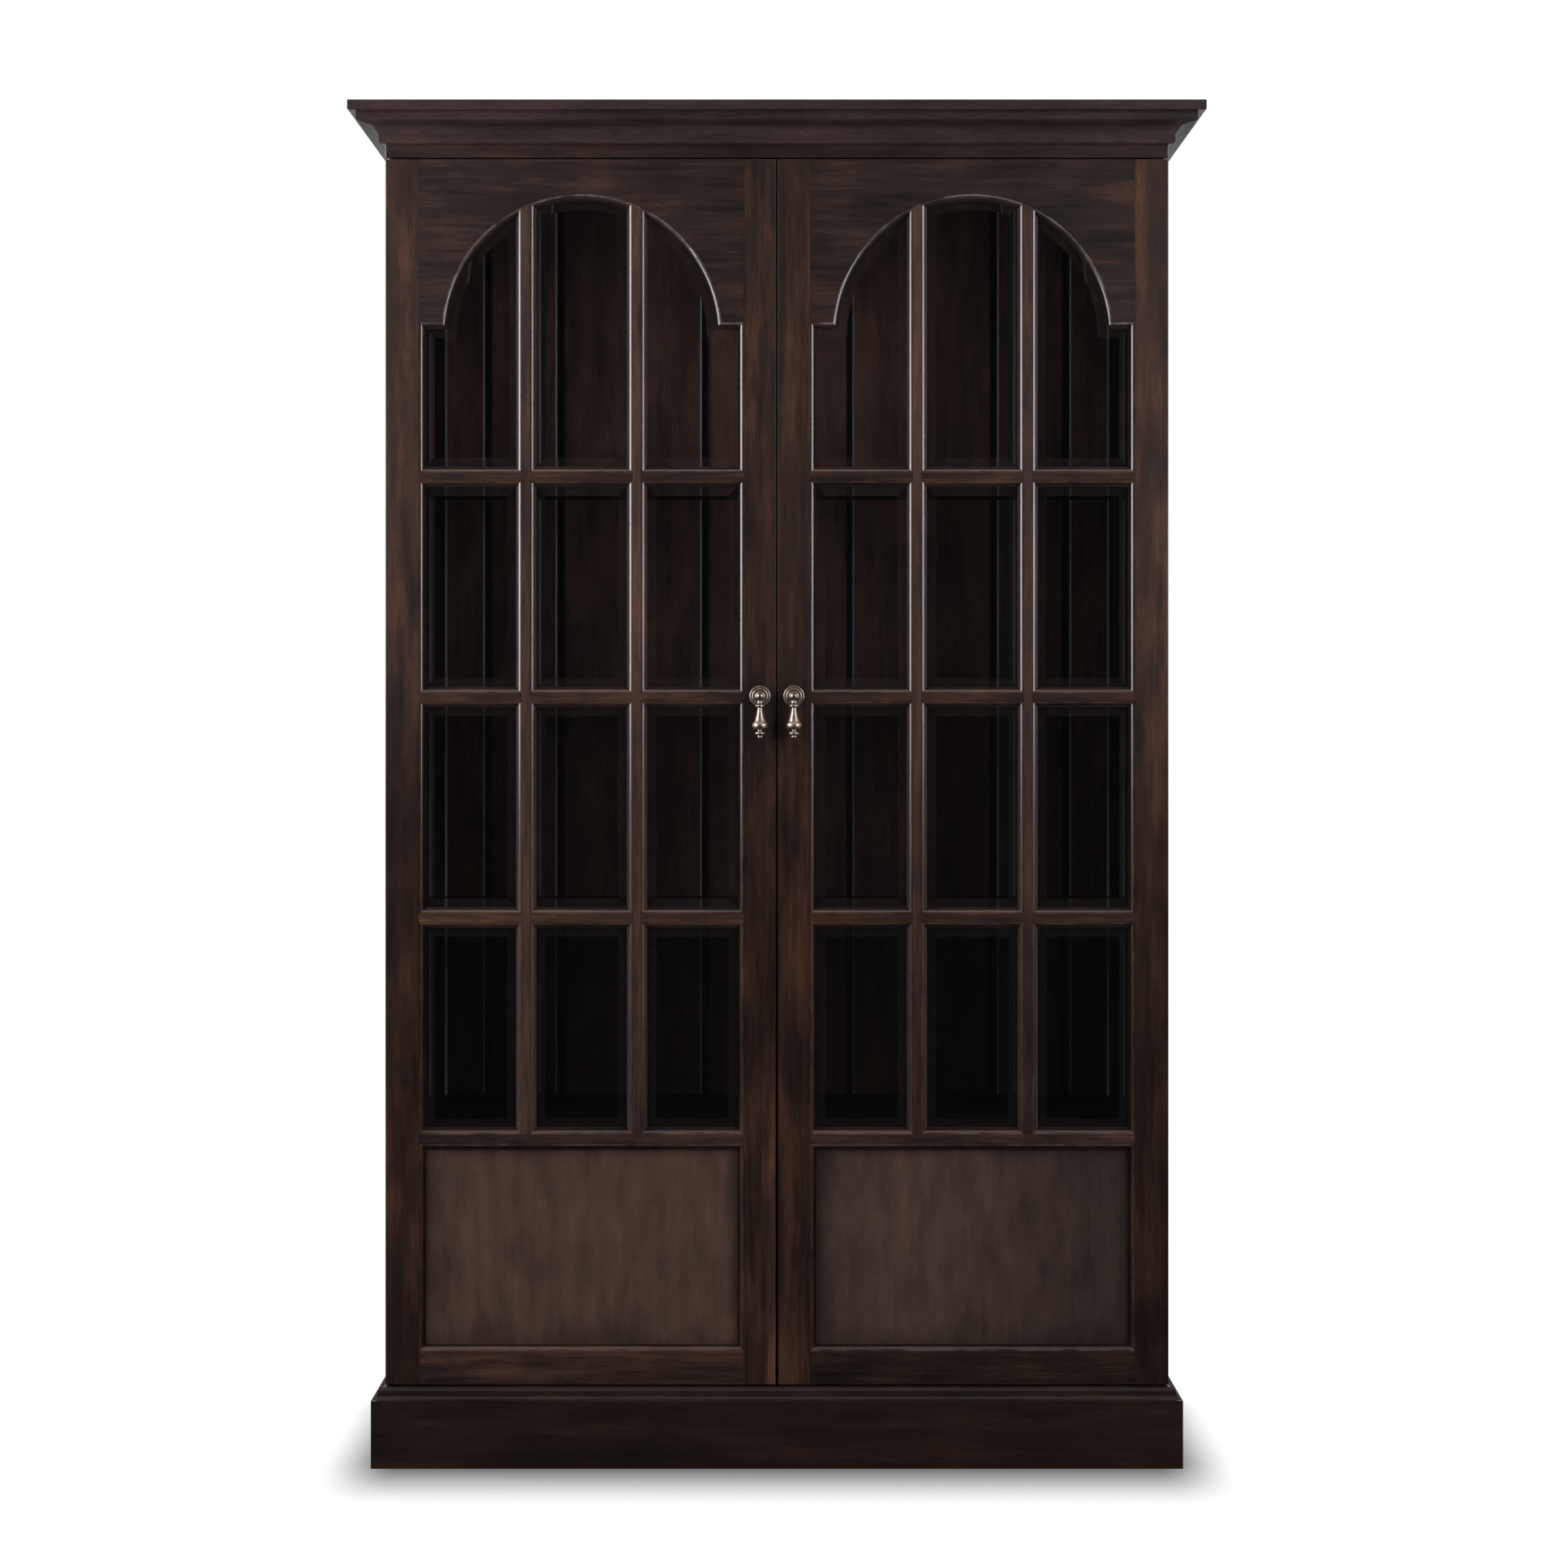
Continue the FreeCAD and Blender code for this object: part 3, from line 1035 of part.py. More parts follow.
def case_pieces(ends):
    """Pieces of the case by name. The ends are the pivot ends of the left door."""
    rows = board_rows()
    catch, catch_screws, catch_holes = door_catch()
    back_screws, back_holes = screw_set(back_screw_places(), -Y_AXIS, BACK_SCREW_LENGTH)
    crown_front, crown_left, crown_right = crown_pieces()
    cap_front, cap_left, cap_right = plinth_cap_pieces()
    plinth_front, plinth_left, plinth_right = plinth_boards()
    left_side = side_left()
    bottom_z = rows["case_bottom"][1]
    batten = batten_left(bottom_z, rows["case_top"][0])
    lines = back_board_lines()
    boards = [back_board(a, b) for a, b in zip(lines, lines[1:])]
    pieces = {
        "side_left": left_side,
        "side_right": mirror_x(left_side),
        "case_top": housed_board(*rows["case_top"]).cut(both_sides(catch_holes) + back_holes),
        "case_bottom": housed_board(*rows["case_bottom"]).cut(back_holes),
        "back_boards": [board.cut(back_holes) for board in boards],
        "back_battens": both_sides([batten]),
        "frieze_rail": frieze_rail().cut(both_sides(ends["top"]["case_cuts"])),
        "crown_front": crown_front,
        "crown_left": crown_left,
        "crown_right": crown_right,
        "cornice_top": cornice_top(),
        "plinth_front": plinth_front,
        "plinth_left": plinth_left,
        "plinth_right": plinth_right,
        "plinth_back": plinth_back(),
        "plinth_cap_front": cap_front.cut(both_sides(ends["bottom"]["case_cuts"])),
        "plinth_cap_left": cap_left,
        "plinth_cap_right": cap_right,
        "plinth_blocks": plinth_blocks(),
        "pivot_plates": both_sides([ends["top"]["plate"], ends["bottom"]["plate"]]),
        "door_catches": both_sides([catch]),
        "case_screws": back_screws + both_sides(catch_screws + ends["top"]["case_screws"]
                                                + ends["bottom"]["case_screws"])}
    for name in ("fixed_shelf", "shelf_lower", "shelf_middle", "shelf_upper"):
        pieces[name] = shelf(*rows[name]).cut(back_holes)
    return pieces


def mirror_piece(piece):
    if isinstance(piece, list):
        return [mirror_x(solid) for solid in piece]
    return mirror_x(piece)


def main():
    door, ends = left_door()
    pieces = case_pieces(ends)
    for name, piece in door.items():
        pieces["left_" + name] = piece
        pieces["right_" + name] = mirror_piece(piece)
    os.makedirs("parts", exist_ok=True)
    for name, piece in pieces.items():
        shape = Part.makeCompound(piece) if isinstance(piece, list) else piece
        shape.exportStep(os.path.join("parts", name + ".step"))


main()
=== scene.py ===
import math

import bpy
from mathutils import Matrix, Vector


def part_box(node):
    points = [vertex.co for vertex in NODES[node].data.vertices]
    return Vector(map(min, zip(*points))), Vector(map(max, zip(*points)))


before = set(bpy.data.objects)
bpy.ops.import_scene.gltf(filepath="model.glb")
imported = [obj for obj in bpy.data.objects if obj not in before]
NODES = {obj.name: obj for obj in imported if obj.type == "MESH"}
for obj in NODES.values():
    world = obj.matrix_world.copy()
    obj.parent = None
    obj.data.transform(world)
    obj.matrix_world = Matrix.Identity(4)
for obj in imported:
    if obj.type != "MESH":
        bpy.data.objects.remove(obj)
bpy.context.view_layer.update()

# Camera: the photograph is 1932 pixels square, taken level from in front of the doors
IMAGE_PIXELS = 1932
SENSOR_MM = 36.0
MM_PER_METRE = 1000.0
DOOR_FRONT_Y = -0.174
CAMERA_DISTANCE = 4.6
EYE_HEIGHT = 1.250
CAMERA_X = 0.0036
MM_PER_PIXEL = 1.3347
VANISHING_PIXEL = (960, 869)

# Which nodes take which finish, without the left_ or right_ of the doors' nodes
SIDES = ("side_left", "side_right", "glazing_beads", "plinth_blocks")
HINGE_STILES = ("hinge_stile",)
MEETING_STILES = ("meeting_stile",)
BARS = ("muntin_bars",)
UPRIGHTS = ("muntin_uprights",)
TOP_RAILS = ("top_rail",)
LOW_RAILS = ("mid_rail", "bottom_rail")
CROWN = ("crown_front", "cornice_top")
FRIEZE = ("frieze_rail",)
RETURNS = ("crown_left", "crown_right", "plinth_left", "plinth_right", "plinth_cap_left",
           "plinth_cap_right")
PLINTH = ("plinth_front", "plinth_cap_front", "plinth_back")
SHELVES = ("case_top", "case_bottom", "fixed_shelf", "shelf_lower", "shelf_middle", "shelf_upper")
BOARDS = ("back_boards",)
BATTENS = ("back_battens",)
PANES = ("glass_panes",)
BRASS = ("pull_rosette", "pull_stud", "pull_pin", "pull_drop")
STEEL = ("pivot_plates", "case_screws", "pivot_leaves", "strike_plate", "door_screws")
CATCHES = ("door_catches",)

# Where the rails meet the stiles, as distances from the middle of the case
JOINT_LINES_X = (0.589, 0.0545)

# Width of a back board from joint to joint, how far the boards' grains are moved apart at most, and
# the width of a corner batten
BOARD_PITCH = 0.129
BOARD_GRAIN_MOVE = (3.0, 3.0, 9.0)
BATTEN_WIDTH = 0.034

# Shares of the pull drop's height where its bulb begins and ends, and how softly it does
BULB_SHARES = (0.22, 0.388)
BULB_FADE = 0.0012

# Layers of noise: how fine per metre along three axes, then detail and roughness; in the wood the
# grain runs along the third axis
SWAY = ((6.0, 6.0, 1.3), 2.0, 0.55)
BROAD = ((13.0, 13.0, 1.0), 3.0, 0.55)
STREAK = ((120.0, 120.0, 4.5), 4.0, 0.6)
FIBRE = ((520.0, 520.0, 12.0), 3.0, 0.65)
PORES = ((1200.0, 1200.0, 34.0), 1.0, 0.55)
BLOTCH = ((22.0, 22.0, 6.0), 5.0, 0.6)
WORN = ((19.0, 19.0, 3.6), 4.0, 0.55)
RUB_AND_HIGHLIGHT = ((30.0, 30.0, 30.0), 3.0, 0.55)
FLECK = ((620.0, 620.0, 210.0), 3.0, 0.6)
SMUDGE = ((36.0, 36.0, 11.0), 4.0, 0.55)
RAGGED = ((11.0, 11.0, 7.0), 5.0, 0.6)
TARNISH = ((180.0, 180.0, 180.0), 4.0, 0.6)
SCRATCH = ((900.0, 900.0, 2400.0), 2.0, 0.55)
BRUSH = ((60.0, 2200.0, 2200.0), 2.0, 0.55)
SPOTS = ((140.0, 140.0, 140.0), 3.0, 0.55)
EGGSHELL = ((1500.0, 1500.0, 1500.0), 2.0, 0.55)
CLOUD = ((60.0, 60.0, 60.0), 2.0, 0.55)
NOISE_MIDDLE = 0.5

# How far the grain sways, and the share of each layer in the tone of the wood and of the veneer
SWAY_REACH = (0.035, 0.035, 0.0)
BROAD_WEIGHT = 0.36
STREAK_WEIGHT = 0.38
FIBRE_WEIGHT = 0.26
VENEER_GRAIN_WEIGHT = 0.28
SMUDGE_WEIGHT = 0.38
FLECK_WEIGHT = 0.34

# Steps in this file: from where to where a value brings a change, and what it gives at either end.
# Steps by noise: pores, worn patches and the fibres in them, crests rubbed and painted with a highlight,
# and roughnesses
PORE_STEP = (0.60, 0.70, 0.0, 1.0)
PATCH_STEP = (0.50, 0.80, 0.0, 1.0)
WORN_FIBRE_STEP = (0.35, 0.60, 0.45, 1.0)
RUB_AND_HIGHLIGHT_STEP = (0.35, 0.65, 0.1, 0.7)
LACQUER_ROUGHNESS = (0.30, 0.70, 0.44, 0.60)
VENEER_ROUGHNESS = (0.30, 0.70, 0.46, 0.62)
BRASS_ROUGHNESS = (0.30, 0.70, 0.36, 0.48)
STEEL_ROUGHNESS = (0.30, 0.70, 0.26, 0.44)
PLASTIC_ROUGHNESS = (0.30, 0.70, 0.42, 0.56)

# Steps by distance: from the middle of the case, from a joint and from a batten's inner face
DOOR_CHANGE_STEP = (-0.001, 0.001, 0.0, 1.0)
# Painted shade on the edges where the two doors meet
MEETING_SHADE_STEP = (0.0021, 0.0031, 1.0, 0.0)
MEETING_GLOSS_STEP = (0.0026, 0.0036, 0.2, 1.0)
RAIL_JOINT_STEP = (0.0003, 0.0013, 0.55, 0.0)
BOARD_JOINT_STEP = (0.0006, 0.0018, 0.9, 0.0)
# Painted highlight on the battens' inner face
BATTEN_HIGHLIGHT_STEP = (0.0006, 0.0016, 1.0, 0.0)

# Steps by the way a face looks: ahead, down, up or back, inward, and for the glass straight ahead
FRONT_FACE_STEP = (-0.95, -0.85, 1.0, 0.0)
SOFFIT_GLOSS_STEP = (-0.97, -0.80, 0.12, 0.7)
HIDDEN_GLOSS_STEP = (0.2, 0.5, 1.0, 0.15)
LIT_EDGE_STEP = (-0.10, -0.35, 0.0, 1.0)
BEVEL_STEP = (0.9985, 0.993, 0.0, 1.0)

# Steps by height, in the grades first those of the left door, then those of the right door. The grades
# paint light and shade: the door frames lighter or darker by height and door
HINGE_GRADES = (((0.50, 0.60, 1.15, 1.0), (0.55, 0.95, 0.88, 1.0), (1.10, 1.40, 1.0, 1.55),
                 (1.55, 1.75, 1.0, 0.87)),
                ((0.50, 0.60, 1.10, 1.0), (0.55, 0.95, 0.62, 1.0), (1.10, 1.40, 1.0, 1.70),
                 (1.55, 1.75, 1.0, 0.85)))
MEETING_GRADES = (((0.48, 0.65, 2.0, 1.0), (1.45, 1.75, 1.0, 1.7)),
                  ((0.48, 0.65, 1.2, 1.0), (1.20, 1.80, 1.0, 1.4)))
UPRIGHT_GRADES = (((0.75, 1.00, 1.15, 1.0), (1.20, 1.50, 1.0, 1.12)),
                  ((0.75, 1.05, 0.55, 1.0), (1.50, 1.75, 1.0, 1.2)))
BAR_GRADES = (((0.80, 1.10, 2.6, 1.50),), ((1.30, 1.60, 1.0, 1.3),))
LOW_RAIL_GRADES = (((0.25, 0.40, 0.88, 1.05),), ((0.25, 0.40, 0.45, 1.05),))
FRAME_GLOSS_STEP = (0.9, 1.5, 0.30, 0.95)
# Painted shade: the shelves darker towards the floor
SHELF_SHADE_STEP = (0.5, 1.1, 0.25, 1.0)
# Painted light high up and painted shade low down on the back boards inside
BOARD_PAINTED_LIGHT_STEP = (1.5, 1.9, 1.0, 1.4)
BOARD_SHADE_STEP = (0.45, 1.95, 0.18, 1.0)

# Steps by depth below the back boards' front
# Painted shade in the back boards' grooves
GROOVE_SHADE_STEP = (0.0040, 0.0060, 1.0, 0.08)
BOARD_BACK_STEP = (0.0120, 0.0130, 0.0, 1.0)

# Bands of depth, as (where it rises, where it falls, peak): the crests and fillets of the mouldings,
# below the doors' front, and the back boards' rounded edges, below their own
CREST_BANDS = (((0.0010, 0.0013), (0.0014, 0.0022), 1.0), ((0.0044, 0.0050), (0.0058, 0.0062), 0.8))
FILLET_BAND = ((0.0060, 0.0070), (0.0085, 0.0095), 0.7)
BOARD_EDGE_BAND = ((0.0004, 0.0010), (0.0030, 0.0045), 1.0)

# How far inside the doors' outer edges the worn lacquer begins and ends, and what is left of it
OUTER_EDGE_INSETS = (0.0012, 0.0004)
OUTER_EDGE_GLOSS = 0.3

# Lacquer, veneer and glass
COAT_IOR = 1.8
COAT_ROUGHNESS = 0.26
VENEER_SPECULAR = 0.2
GLASS_IOR = 1.5
BEVEL_HAZE = 0.06
# Share of the bevels left clear; the rest is a warm diffuse share, a painted reflection
BEVEL_CLEARNESS = 0.995

# Reliefs: strength, and height in metres; and how deep the pores lie against the fibres
WOOD_RELIEF = (0.25, 0.0003)
VENEER_RELIEF = (0.3, 0.0003)
BRASS_RELIEF = (0.06, 0.0001)
STEEL_RELIEF = (0.1, 0.0001)
PLASTIC_RELIEF = (0.2, 0.0001)
PORE_SINK = 0.6

# Colours of the stain from its darkest streaks to its lightest, as (place, colour). The copies for the
# low rails, top rails, crown, cornice, uprights, inside, shelves and plinth are the stain made lighter,
# darker or cooler: painted light and shade for each kind of piece
STAIN_STOPS = ((0.36, (0.0065, 0.0035, 0.0025)), (0.46, (0.0148, 0.0071, 0.0045)),
               (0.54, (0.0260, 0.0119, 0.0070)), (0.64, (0.0520, 0.0220, 0.0115)))
LOW_RAIL_STOPS = ((0.36, (0.0120, 0.0066, 0.0048)), (0.46, (0.0264, 0.0132, 0.0088)),
                  (0.54, (0.0456, 0.0216, 0.0134)), (0.64, (0.0888, 0.0384, 0.0206)))
RAIL_STOPS = ((0.36, (0.0070, 0.0042, 0.0035)), (0.46, (0.0150, 0.0085, 0.0067)),
              (0.54, (0.0245, 0.0133, 0.0101)), (0.64, (0.0440, 0.0220, 0.0148)))
# The crown's copy is lighter and cooler: a painted cool sheen
CROWN_STOPS = ((0.36, (0.0158, 0.0104, 0.0101)), (0.46, (0.0281, 0.0177, 0.0168)),
               (0.54, (0.0404, 0.0244, 0.0227)), (0.64, (0.0632, 0.0354, 0.0296)))
CORNICE_STOPS = ((0.36, (0.0074, 0.0047, 0.0041)), (0.46, (0.0147, 0.0088, 0.0073)),
                 (0.54, (0.0227, 0.0131, 0.0104)), (0.64, (0.0391, 0.0210, 0.0149)))
UPRIGHT_STOPS = ((0.36, (0.0200, 0.0108, 0.0080)), (0.46, (0.0385, 0.0200, 0.0145)),
                 (0.54, (0.0570, 0.0290, 0.0205)), (0.64, (0.0860, 0.0415, 0.0270)))
INNER_STOPS = ((0.36, (0.0195, 0.0118, 0.0102)), (0.46, (0.0430, 0.0245, 0.0196)),
               (0.54, (0.0690, 0.0375, 0.0284)), (0.64, (0.1120, 0.0550, 0.0360)))
SHELF_STOPS = ((0.36, (0.0042, 0.0029, 0.0026)), (0.46, (0.0078, 0.0050, 0.0042)),
               (0.54, (0.0120, 0.0073, 0.0058)), (0.64, (0.0195, 0.0110, 0.0078)))
VENEER_STOPS = ((0.38, (0.0310, 0.0175, 0.0117)), (0.46, (0.0500, 0.0277, 0.0182)),
                (0.54, (0.0650, 0.0362, 0.0236)), (0.62, (0.0850, 0.0462, 0.0296)))
# The plinth's copy is darker: painted shade
PLINTH_STOPS = ((0.36, (0.0055, 0.0035, 0.0028)), (0.46, (0.0115, 0.0064, 0.0047)),
                (0.54, (0.0185, 0.0098, 0.0068)), (0.64, (0.0310, 0.0152, 0.0094)))

# Other colours of the wood, the share of the pores' colour, and the tone of the meeting stiles
WORN_COLOUR = (0.085, 0.034, 0.018, 1.0)
PORE_COLOUR = (0.004, 0.003, 0.0027, 1.0)
PORE_SHARE = 0.55
# Crest colours: rubbed stain, lighter still as a painted highlight along the mouldings
CREST_RUB_AND_HIGHLIGHT = (0.080, 0.038, 0.024, 1.0)
RAIL_CREST_RUB_AND_HIGHLIGHT = (0.120, 0.078, 0.062, 1.0)
ARCH_CREST_RUB_AND_HIGHLIGHT = (0.200, 0.150, 0.135, 1.0)
# Fillet colours: painted shade in the hollow beside the glass and panels, and on the uprights a painted
# grey sheen
FILLET_PAINTED_SHADE = (0.0055, 0.0035, 0.0030, 1.0)
UPRIGHT_FILLET_PAINTED_SHEEN = (0.060, 0.046, 0.045, 1.0)
RAIL_JOINT_COLOUR = (0.003, 0.002, 0.002, 1.0)
# Painted shade on the edges where the two doors meet
MEETING_PAINTED_SHADE = (0.0050, 0.0030, 0.0023, 1.0)
MEETING_TONE = 0.9
# Painted highlight on the back boards' edges that face into the case
BOARD_EDGE_HIGHLIGHT = (0.190, 0.200, 0.230, 1.0)
BOARD_JOINT_COLOUR = (0.002, 0.0015, 0.0013, 1.0)
# Painted shade in the grooves and low down on the back boards
BOARD_PAINTED_SHADE = (0.001, 0.001, 0.0012, 1.0)
# Painted highlight on the corner battens' inner face
BATTEN_PAINTED_HIGHLIGHT = (0.150, 0.145, 0.150, 1.0)

# Tint of each lower panel at its left and at its right edge, and where along it the change begins
PANEL_TINTS = {"left_lower_panel": ((1.10, 1.06, 1.04, 1.0), (1.10, 1.06, 1.04, 1.0)),
               "right_lower_panel": ((0.95, 0.96, 1.00, 1.0), (0.52, 0.53, 0.58, 1.0))}
PANEL_FADE_START = 0.35

# Darkening at the panels' edges: its colour, how far it reaches in, how ragged it is, and how much
# sooner it ends at the right, below and above than at the left
PANEL_EDGE_COLOUR = (0.010, 0.0068, 0.0056, 1.0)
PANEL_EDGE_STEP = (-0.03, 0.085, 0.60, 0.0)
PANEL_EDGE_RAGGED = 0.20
PANEL_EDGE_WEIGHTS = (2.0, 1.3, 2.4)

# Colours of the glass, with a painted reflection on its bevels, the metals and the plastic, the gold on
# the bulb, and the dark of the hollows
GLASS_TINT = (0.94, 0.955, 0.95, 1.0)
BEVEL_PAINTED_REFLECTION = (0.82, 0.70, 0.64, 1.0)
BRASS_STOPS = ((0.30, (0.24, 0.186, 0.148)), (0.50, (0.31, 0.246, 0.200)),
               (0.70, (0.38, 0.308, 0.254)))
BULB_COLOUR = (0.42, 0.32, 0.22, 1.0)
BULB_GOLD = 0.6
PATINA_COLOUR = (0.028, 0.020, 0.015, 1.0)
HOLLOW_WIDTH = 0.004
HOLLOW_SAMPLES = 8
HOLLOW_STEP = (0.15, 0.60, 0.70, 0.0)
STEEL_STOPS = ((0.35, (0.30, 0.29, 0.27)), (0.50, (0.45, 0.44, 0.42)), (0.65, (0.55, 0.54, 0.52)))
PLASTIC_STOPS = ((0.35, (0.016, 0.012, 0.010)), (0.65, (0.026, 0.020, 0.017)))

# Floor: its size, its own grey, its brightness to the eye, and how far the contact shade reaches
FLOOR_REACH = 14.0
FLOOR_FRONT_Y = -2.5
FLOOR_GREY = (0.35, 0.35, 0.35, 1.0)
FLOOR_GLOW = 1.22
FLOOR_GLOW_SHARE = 0.85
SHADE_AHEAD_STEP = (-0.07, 0.265, 1.0, 0.0)
SHADE_AROUND_STEP = (-0.045, 0.11, 1.0, 0.0)

# Backdrop: its brightness as light, and from in front to behind in reflections and through glass
WHITE = (1.0, 1.0, 1.0, 1.0)
AMBIENT = 0.05
REFLECTED_STEP = (0.0, 0.6, 0.02, 0.45)
REFRACTED_STEP = (0.0, 0.6, 0.02, 1.0)

# Soft lights: name, place, aim, width and height, brightness, colour
COOL_LIGHT = (0.93, 0.955, 1.03)
WHITE_LIGHT = (1.0, 1.0, 1.0)
SOFTBOXES = (("left_wide", (-2.2, -0.75, 1.95), (0.0, -0.75, 1.6), (2.4, 1.9), 9.0, COOL_LIGHT),
             ("right_narrow", (2.2, -1.5, 1.95), (0.0, -0.17, 1.5), (1.0, 1.9), 10.0, COOL_LIGHT),
             ("left_fill", (-2.55, -2.3, 1.9), (0.0, -0.17, 1.6), (1.3, 1.8), 1.5, COOL_LIGHT),
             ("right_fill", (2.55, -2.3, 1.9), (0.0, -0.17, 1.6), (1.3, 1.8), 1.1, COOL_LIGHT),
             ("front_top", (0.0, -2.3, 4.9), (0.0, -0.17, 1.5), (3.0, 1.2), 2.4, WHITE_LIGHT),
             ("overhead", (0.0, 0.5, 4.8), (0.0, 0.2, 0.0), (3.4, 2.4), 1.5, WHITE_LIGHT),
             ("behind", (0.0, 3.6, 2.2), (0.0, 0.2, 1.1), (3.0, 2.4), 4.5, WHITE_LIGHT))


# Node helpers

def put(tree, kind, inputs=None, **settings):
    """Adds a node with the given settings, and inputs that are values or sockets to link."""
    made = tree.nodes.new(kind)
    for name, value in settings.items():
        setattr(made, name, value)
    for key, value in (inputs or {}).items():
        if isinstance(value, bpy.types.NodeSocket):
            tree.links.new(value, made.inputs[key])
        else:
            made.inputs[key].default_value = value
    return made


def calc(tree, operation, a, b=0.0):
    return put(tree, "ShaderNodeMath", {0: a, 1: b}, operation=operation).outputs[0]


def weighed(tree, value, weight, base):
    """The value times a weight, on top of a base."""
    inputs = {0: value, 1: weight, 2: base}
    return put(tree, "ShaderNodeMath", inputs, operation="MULTIPLY_ADD").outputs[0]


def spread(tree, value, low, high, to_low=0.0, to_high=1.0):
    """The value moved from one range to another, with smooth ends."""
    inputs = {"Value": value, "From Min": low, "From Max": high, "To Min": to_low, "To Max": to_high}
    return put(tree, "ShaderNodeMapRange", inputs, interpolation_type="SMOOTHSTEP").outputs["Result"]


def band(tree, value, rise, fall, peak=1.0):
    """Share that grows to its peak over one range of the value and falls to nothing over another."""
    grown = spread(tree, value, *rise, 0.0, peak)
    return calc(tree, "MULTIPLY", grown, spread(tree, value, *fall, 1.0, 0.0))


def combined(tree, operation, a, b):
    """Two vectors taken together, axis by axis."""
    return put(tree, "ShaderNodeVectorMath", {0: a, 1: b}, operation=operation).outputs[0]


def scaled(tree, colour, factor):
    """The colour times a factor."""
    inputs = {0: colour, "Scale": factor}
    return put(tree, "ShaderNodeVectorMath", inputs, operation="SCALE").outputs[0]


def noise(tree, vector, layer, output="Fac"):
    """Noise of a layer, with a fineness of its own along each axis."""
    fineness, detail, roughness = layer
    inputs = {"Vector": combined(tree, "MULTIPLY", vector, fineness), "Scale": 1.0, "Detail": detail,
              "Roughness": roughness}
    return put(tree, "ShaderNodeTexNoise", inputs).outputs[output]


def ramp(tree, value, stops):
    """Colour ramp through (place, colour) stops."""
    made = put(tree, "ShaderNodeValToRGB", {"Fac": value})
    elements = made.color_ramp.elements
    while len(elements) < len(stops):
        elements.new(0.5)
    for element, (place, colour) in zip(elements, stops):
        element.position = place
        element.color = (*colour, 1.0)
    return made.outputs["Color"]


def blend(tree, share, a, b, kind="MIX"):
    """Colours a and b mixed by a share."""
    made = put(tree, "ShaderNodeMix", data_type="RGBA", blend_type=kind)
    for key, value in (("Factor_Float", share), ("A_Color", a), ("B_Color", b)):
        socket = next(s for s in made.inputs if s.identifier == key)
        if isinstance(value, bpy.types.NodeSocket):
            tree.links.new(value, socket)
        else:
            socket.default_value = value
    return next(s for s in made.outputs if s.identifier == "Result_Color")


def bumped(tree, height, strength, distance):
    """Normal of a surface with a fine relief."""
    inputs = {"Strength": strength, "Distance": distance, "Height": height}
    return put(tree, "ShaderNodeBump", inputs).outputs["Normal"]


def new_material(name):
    material = bpy.data.materials.new(name)
    material.use_nodes = True
    material.node_tree.nodes.clear()
    return material, material.node_tree


def surface(tree, inputs):
    """Principled surface as the material's output."""
    shader = put(tree, "ShaderNodeBsdfPrincipled", inputs)
    put(tree, "ShaderNodeOutputMaterial", {"Surface": shader.outputs["BSDF"]})


def axes_of(tree, vector):
    return put(tree, "ShaderNodeSeparateXYZ", {"Vector": vector}).outputs


def object_place(tree):
    return put(tree, "ShaderNodeTexCoord").outputs["Object"]


def object_normal(tree):
    return axes_of(tree, put(tree, "ShaderNodeTexCoord").outputs["Normal"])


def from_middle(tree, place):
    """Distance to either side of the middle of the case."""
    return calc(tree, "ABSOLUTE", axes_of(tree, place)["X"])


def door_depth(tree, place):
    """Depth below the front face of the doors."""
    return calc(tree, "SUBTRACT", axes_of(tree, place)["Y"], DOOR_FRONT_Y)


# Grain

def grain_group():
    """Grain of stained wood along the third axis: a tone, fine fibres and pores."""
    group = bpy.data.node_groups.new("wood_grain", "ShaderNodeTree")
    group.interface.new_socket(name="Vector", in_out="INPUT", socket_type="NodeSocketVector")
    for name in ("Tone", "Fibre", "Pores"):
        group.interface.new_socket(name=name, in_out="OUTPUT", socket_type="NodeSocketFloat")
    start = put(group, "NodeGroupInput").outputs["Vector"]
    sway = noise(group, start, SWAY, "Color")
    sway = combined(group, "SUBTRACT", sway, (NOISE_MIDDLE, NOISE_MIDDLE, NOISE_MIDDLE))
    place = combined(group, "ADD", start, combined(group, "MULTIPLY", sway, SWAY_REACH))
    fibre = noise(group, place, FIBRE)
    tone = calc(group, "MULTIPLY", noise(group, place, BROAD), BROAD_WEIGHT)
    tone = weighed(group, noise(group, place, STREAK), STREAK_WEIGHT, tone)
    tone = weighed(group, fibre, FIBRE_WEIGHT, tone)
    pores = spread(group, noise(group, place, PORES), *PORE_STEP)
    put(group, "NodeGroupOutput", {"Tone": tone, "Fibre": fibre, "Pores": pores})
    return group


def grain(tree, group, vector):
    return put(tree, "ShaderNodeGroup", {"Vector": vector}, node_tree=group).outputs


def grain_vector(tree, place, run):
    """The place with its axes turned so that the grain runs along the third one."""
    x, y, z = axes_of(tree, place)
    turned = {"x": (z, y, x), "y": (x, z, y), "z": (x, y, z)}[run]
    return put(tree, "ShaderNodeCombineXYZ", dict(zip("XYZ", turned))).outputs["Vector"]


def board_vector(tree, place, vector):
    """The vector moved by a reach of its own for each back board, so that their grains differ."""
    number = calc(tree, "FLOOR", calc(tree, "DIVIDE", axes_of(tree, place)["X"], BOARD_PITCH))
    own = put(tree, "ShaderNodeTexWhiteNoise", {"W": number}, noise_dimensions="1D").outputs["Color"]
    return combined(tree, "ADD", vector, combined(tree, "MULTIPLY", own, BOARD_GRAIN_MOVE))


# Wear and dirt on the mouldings

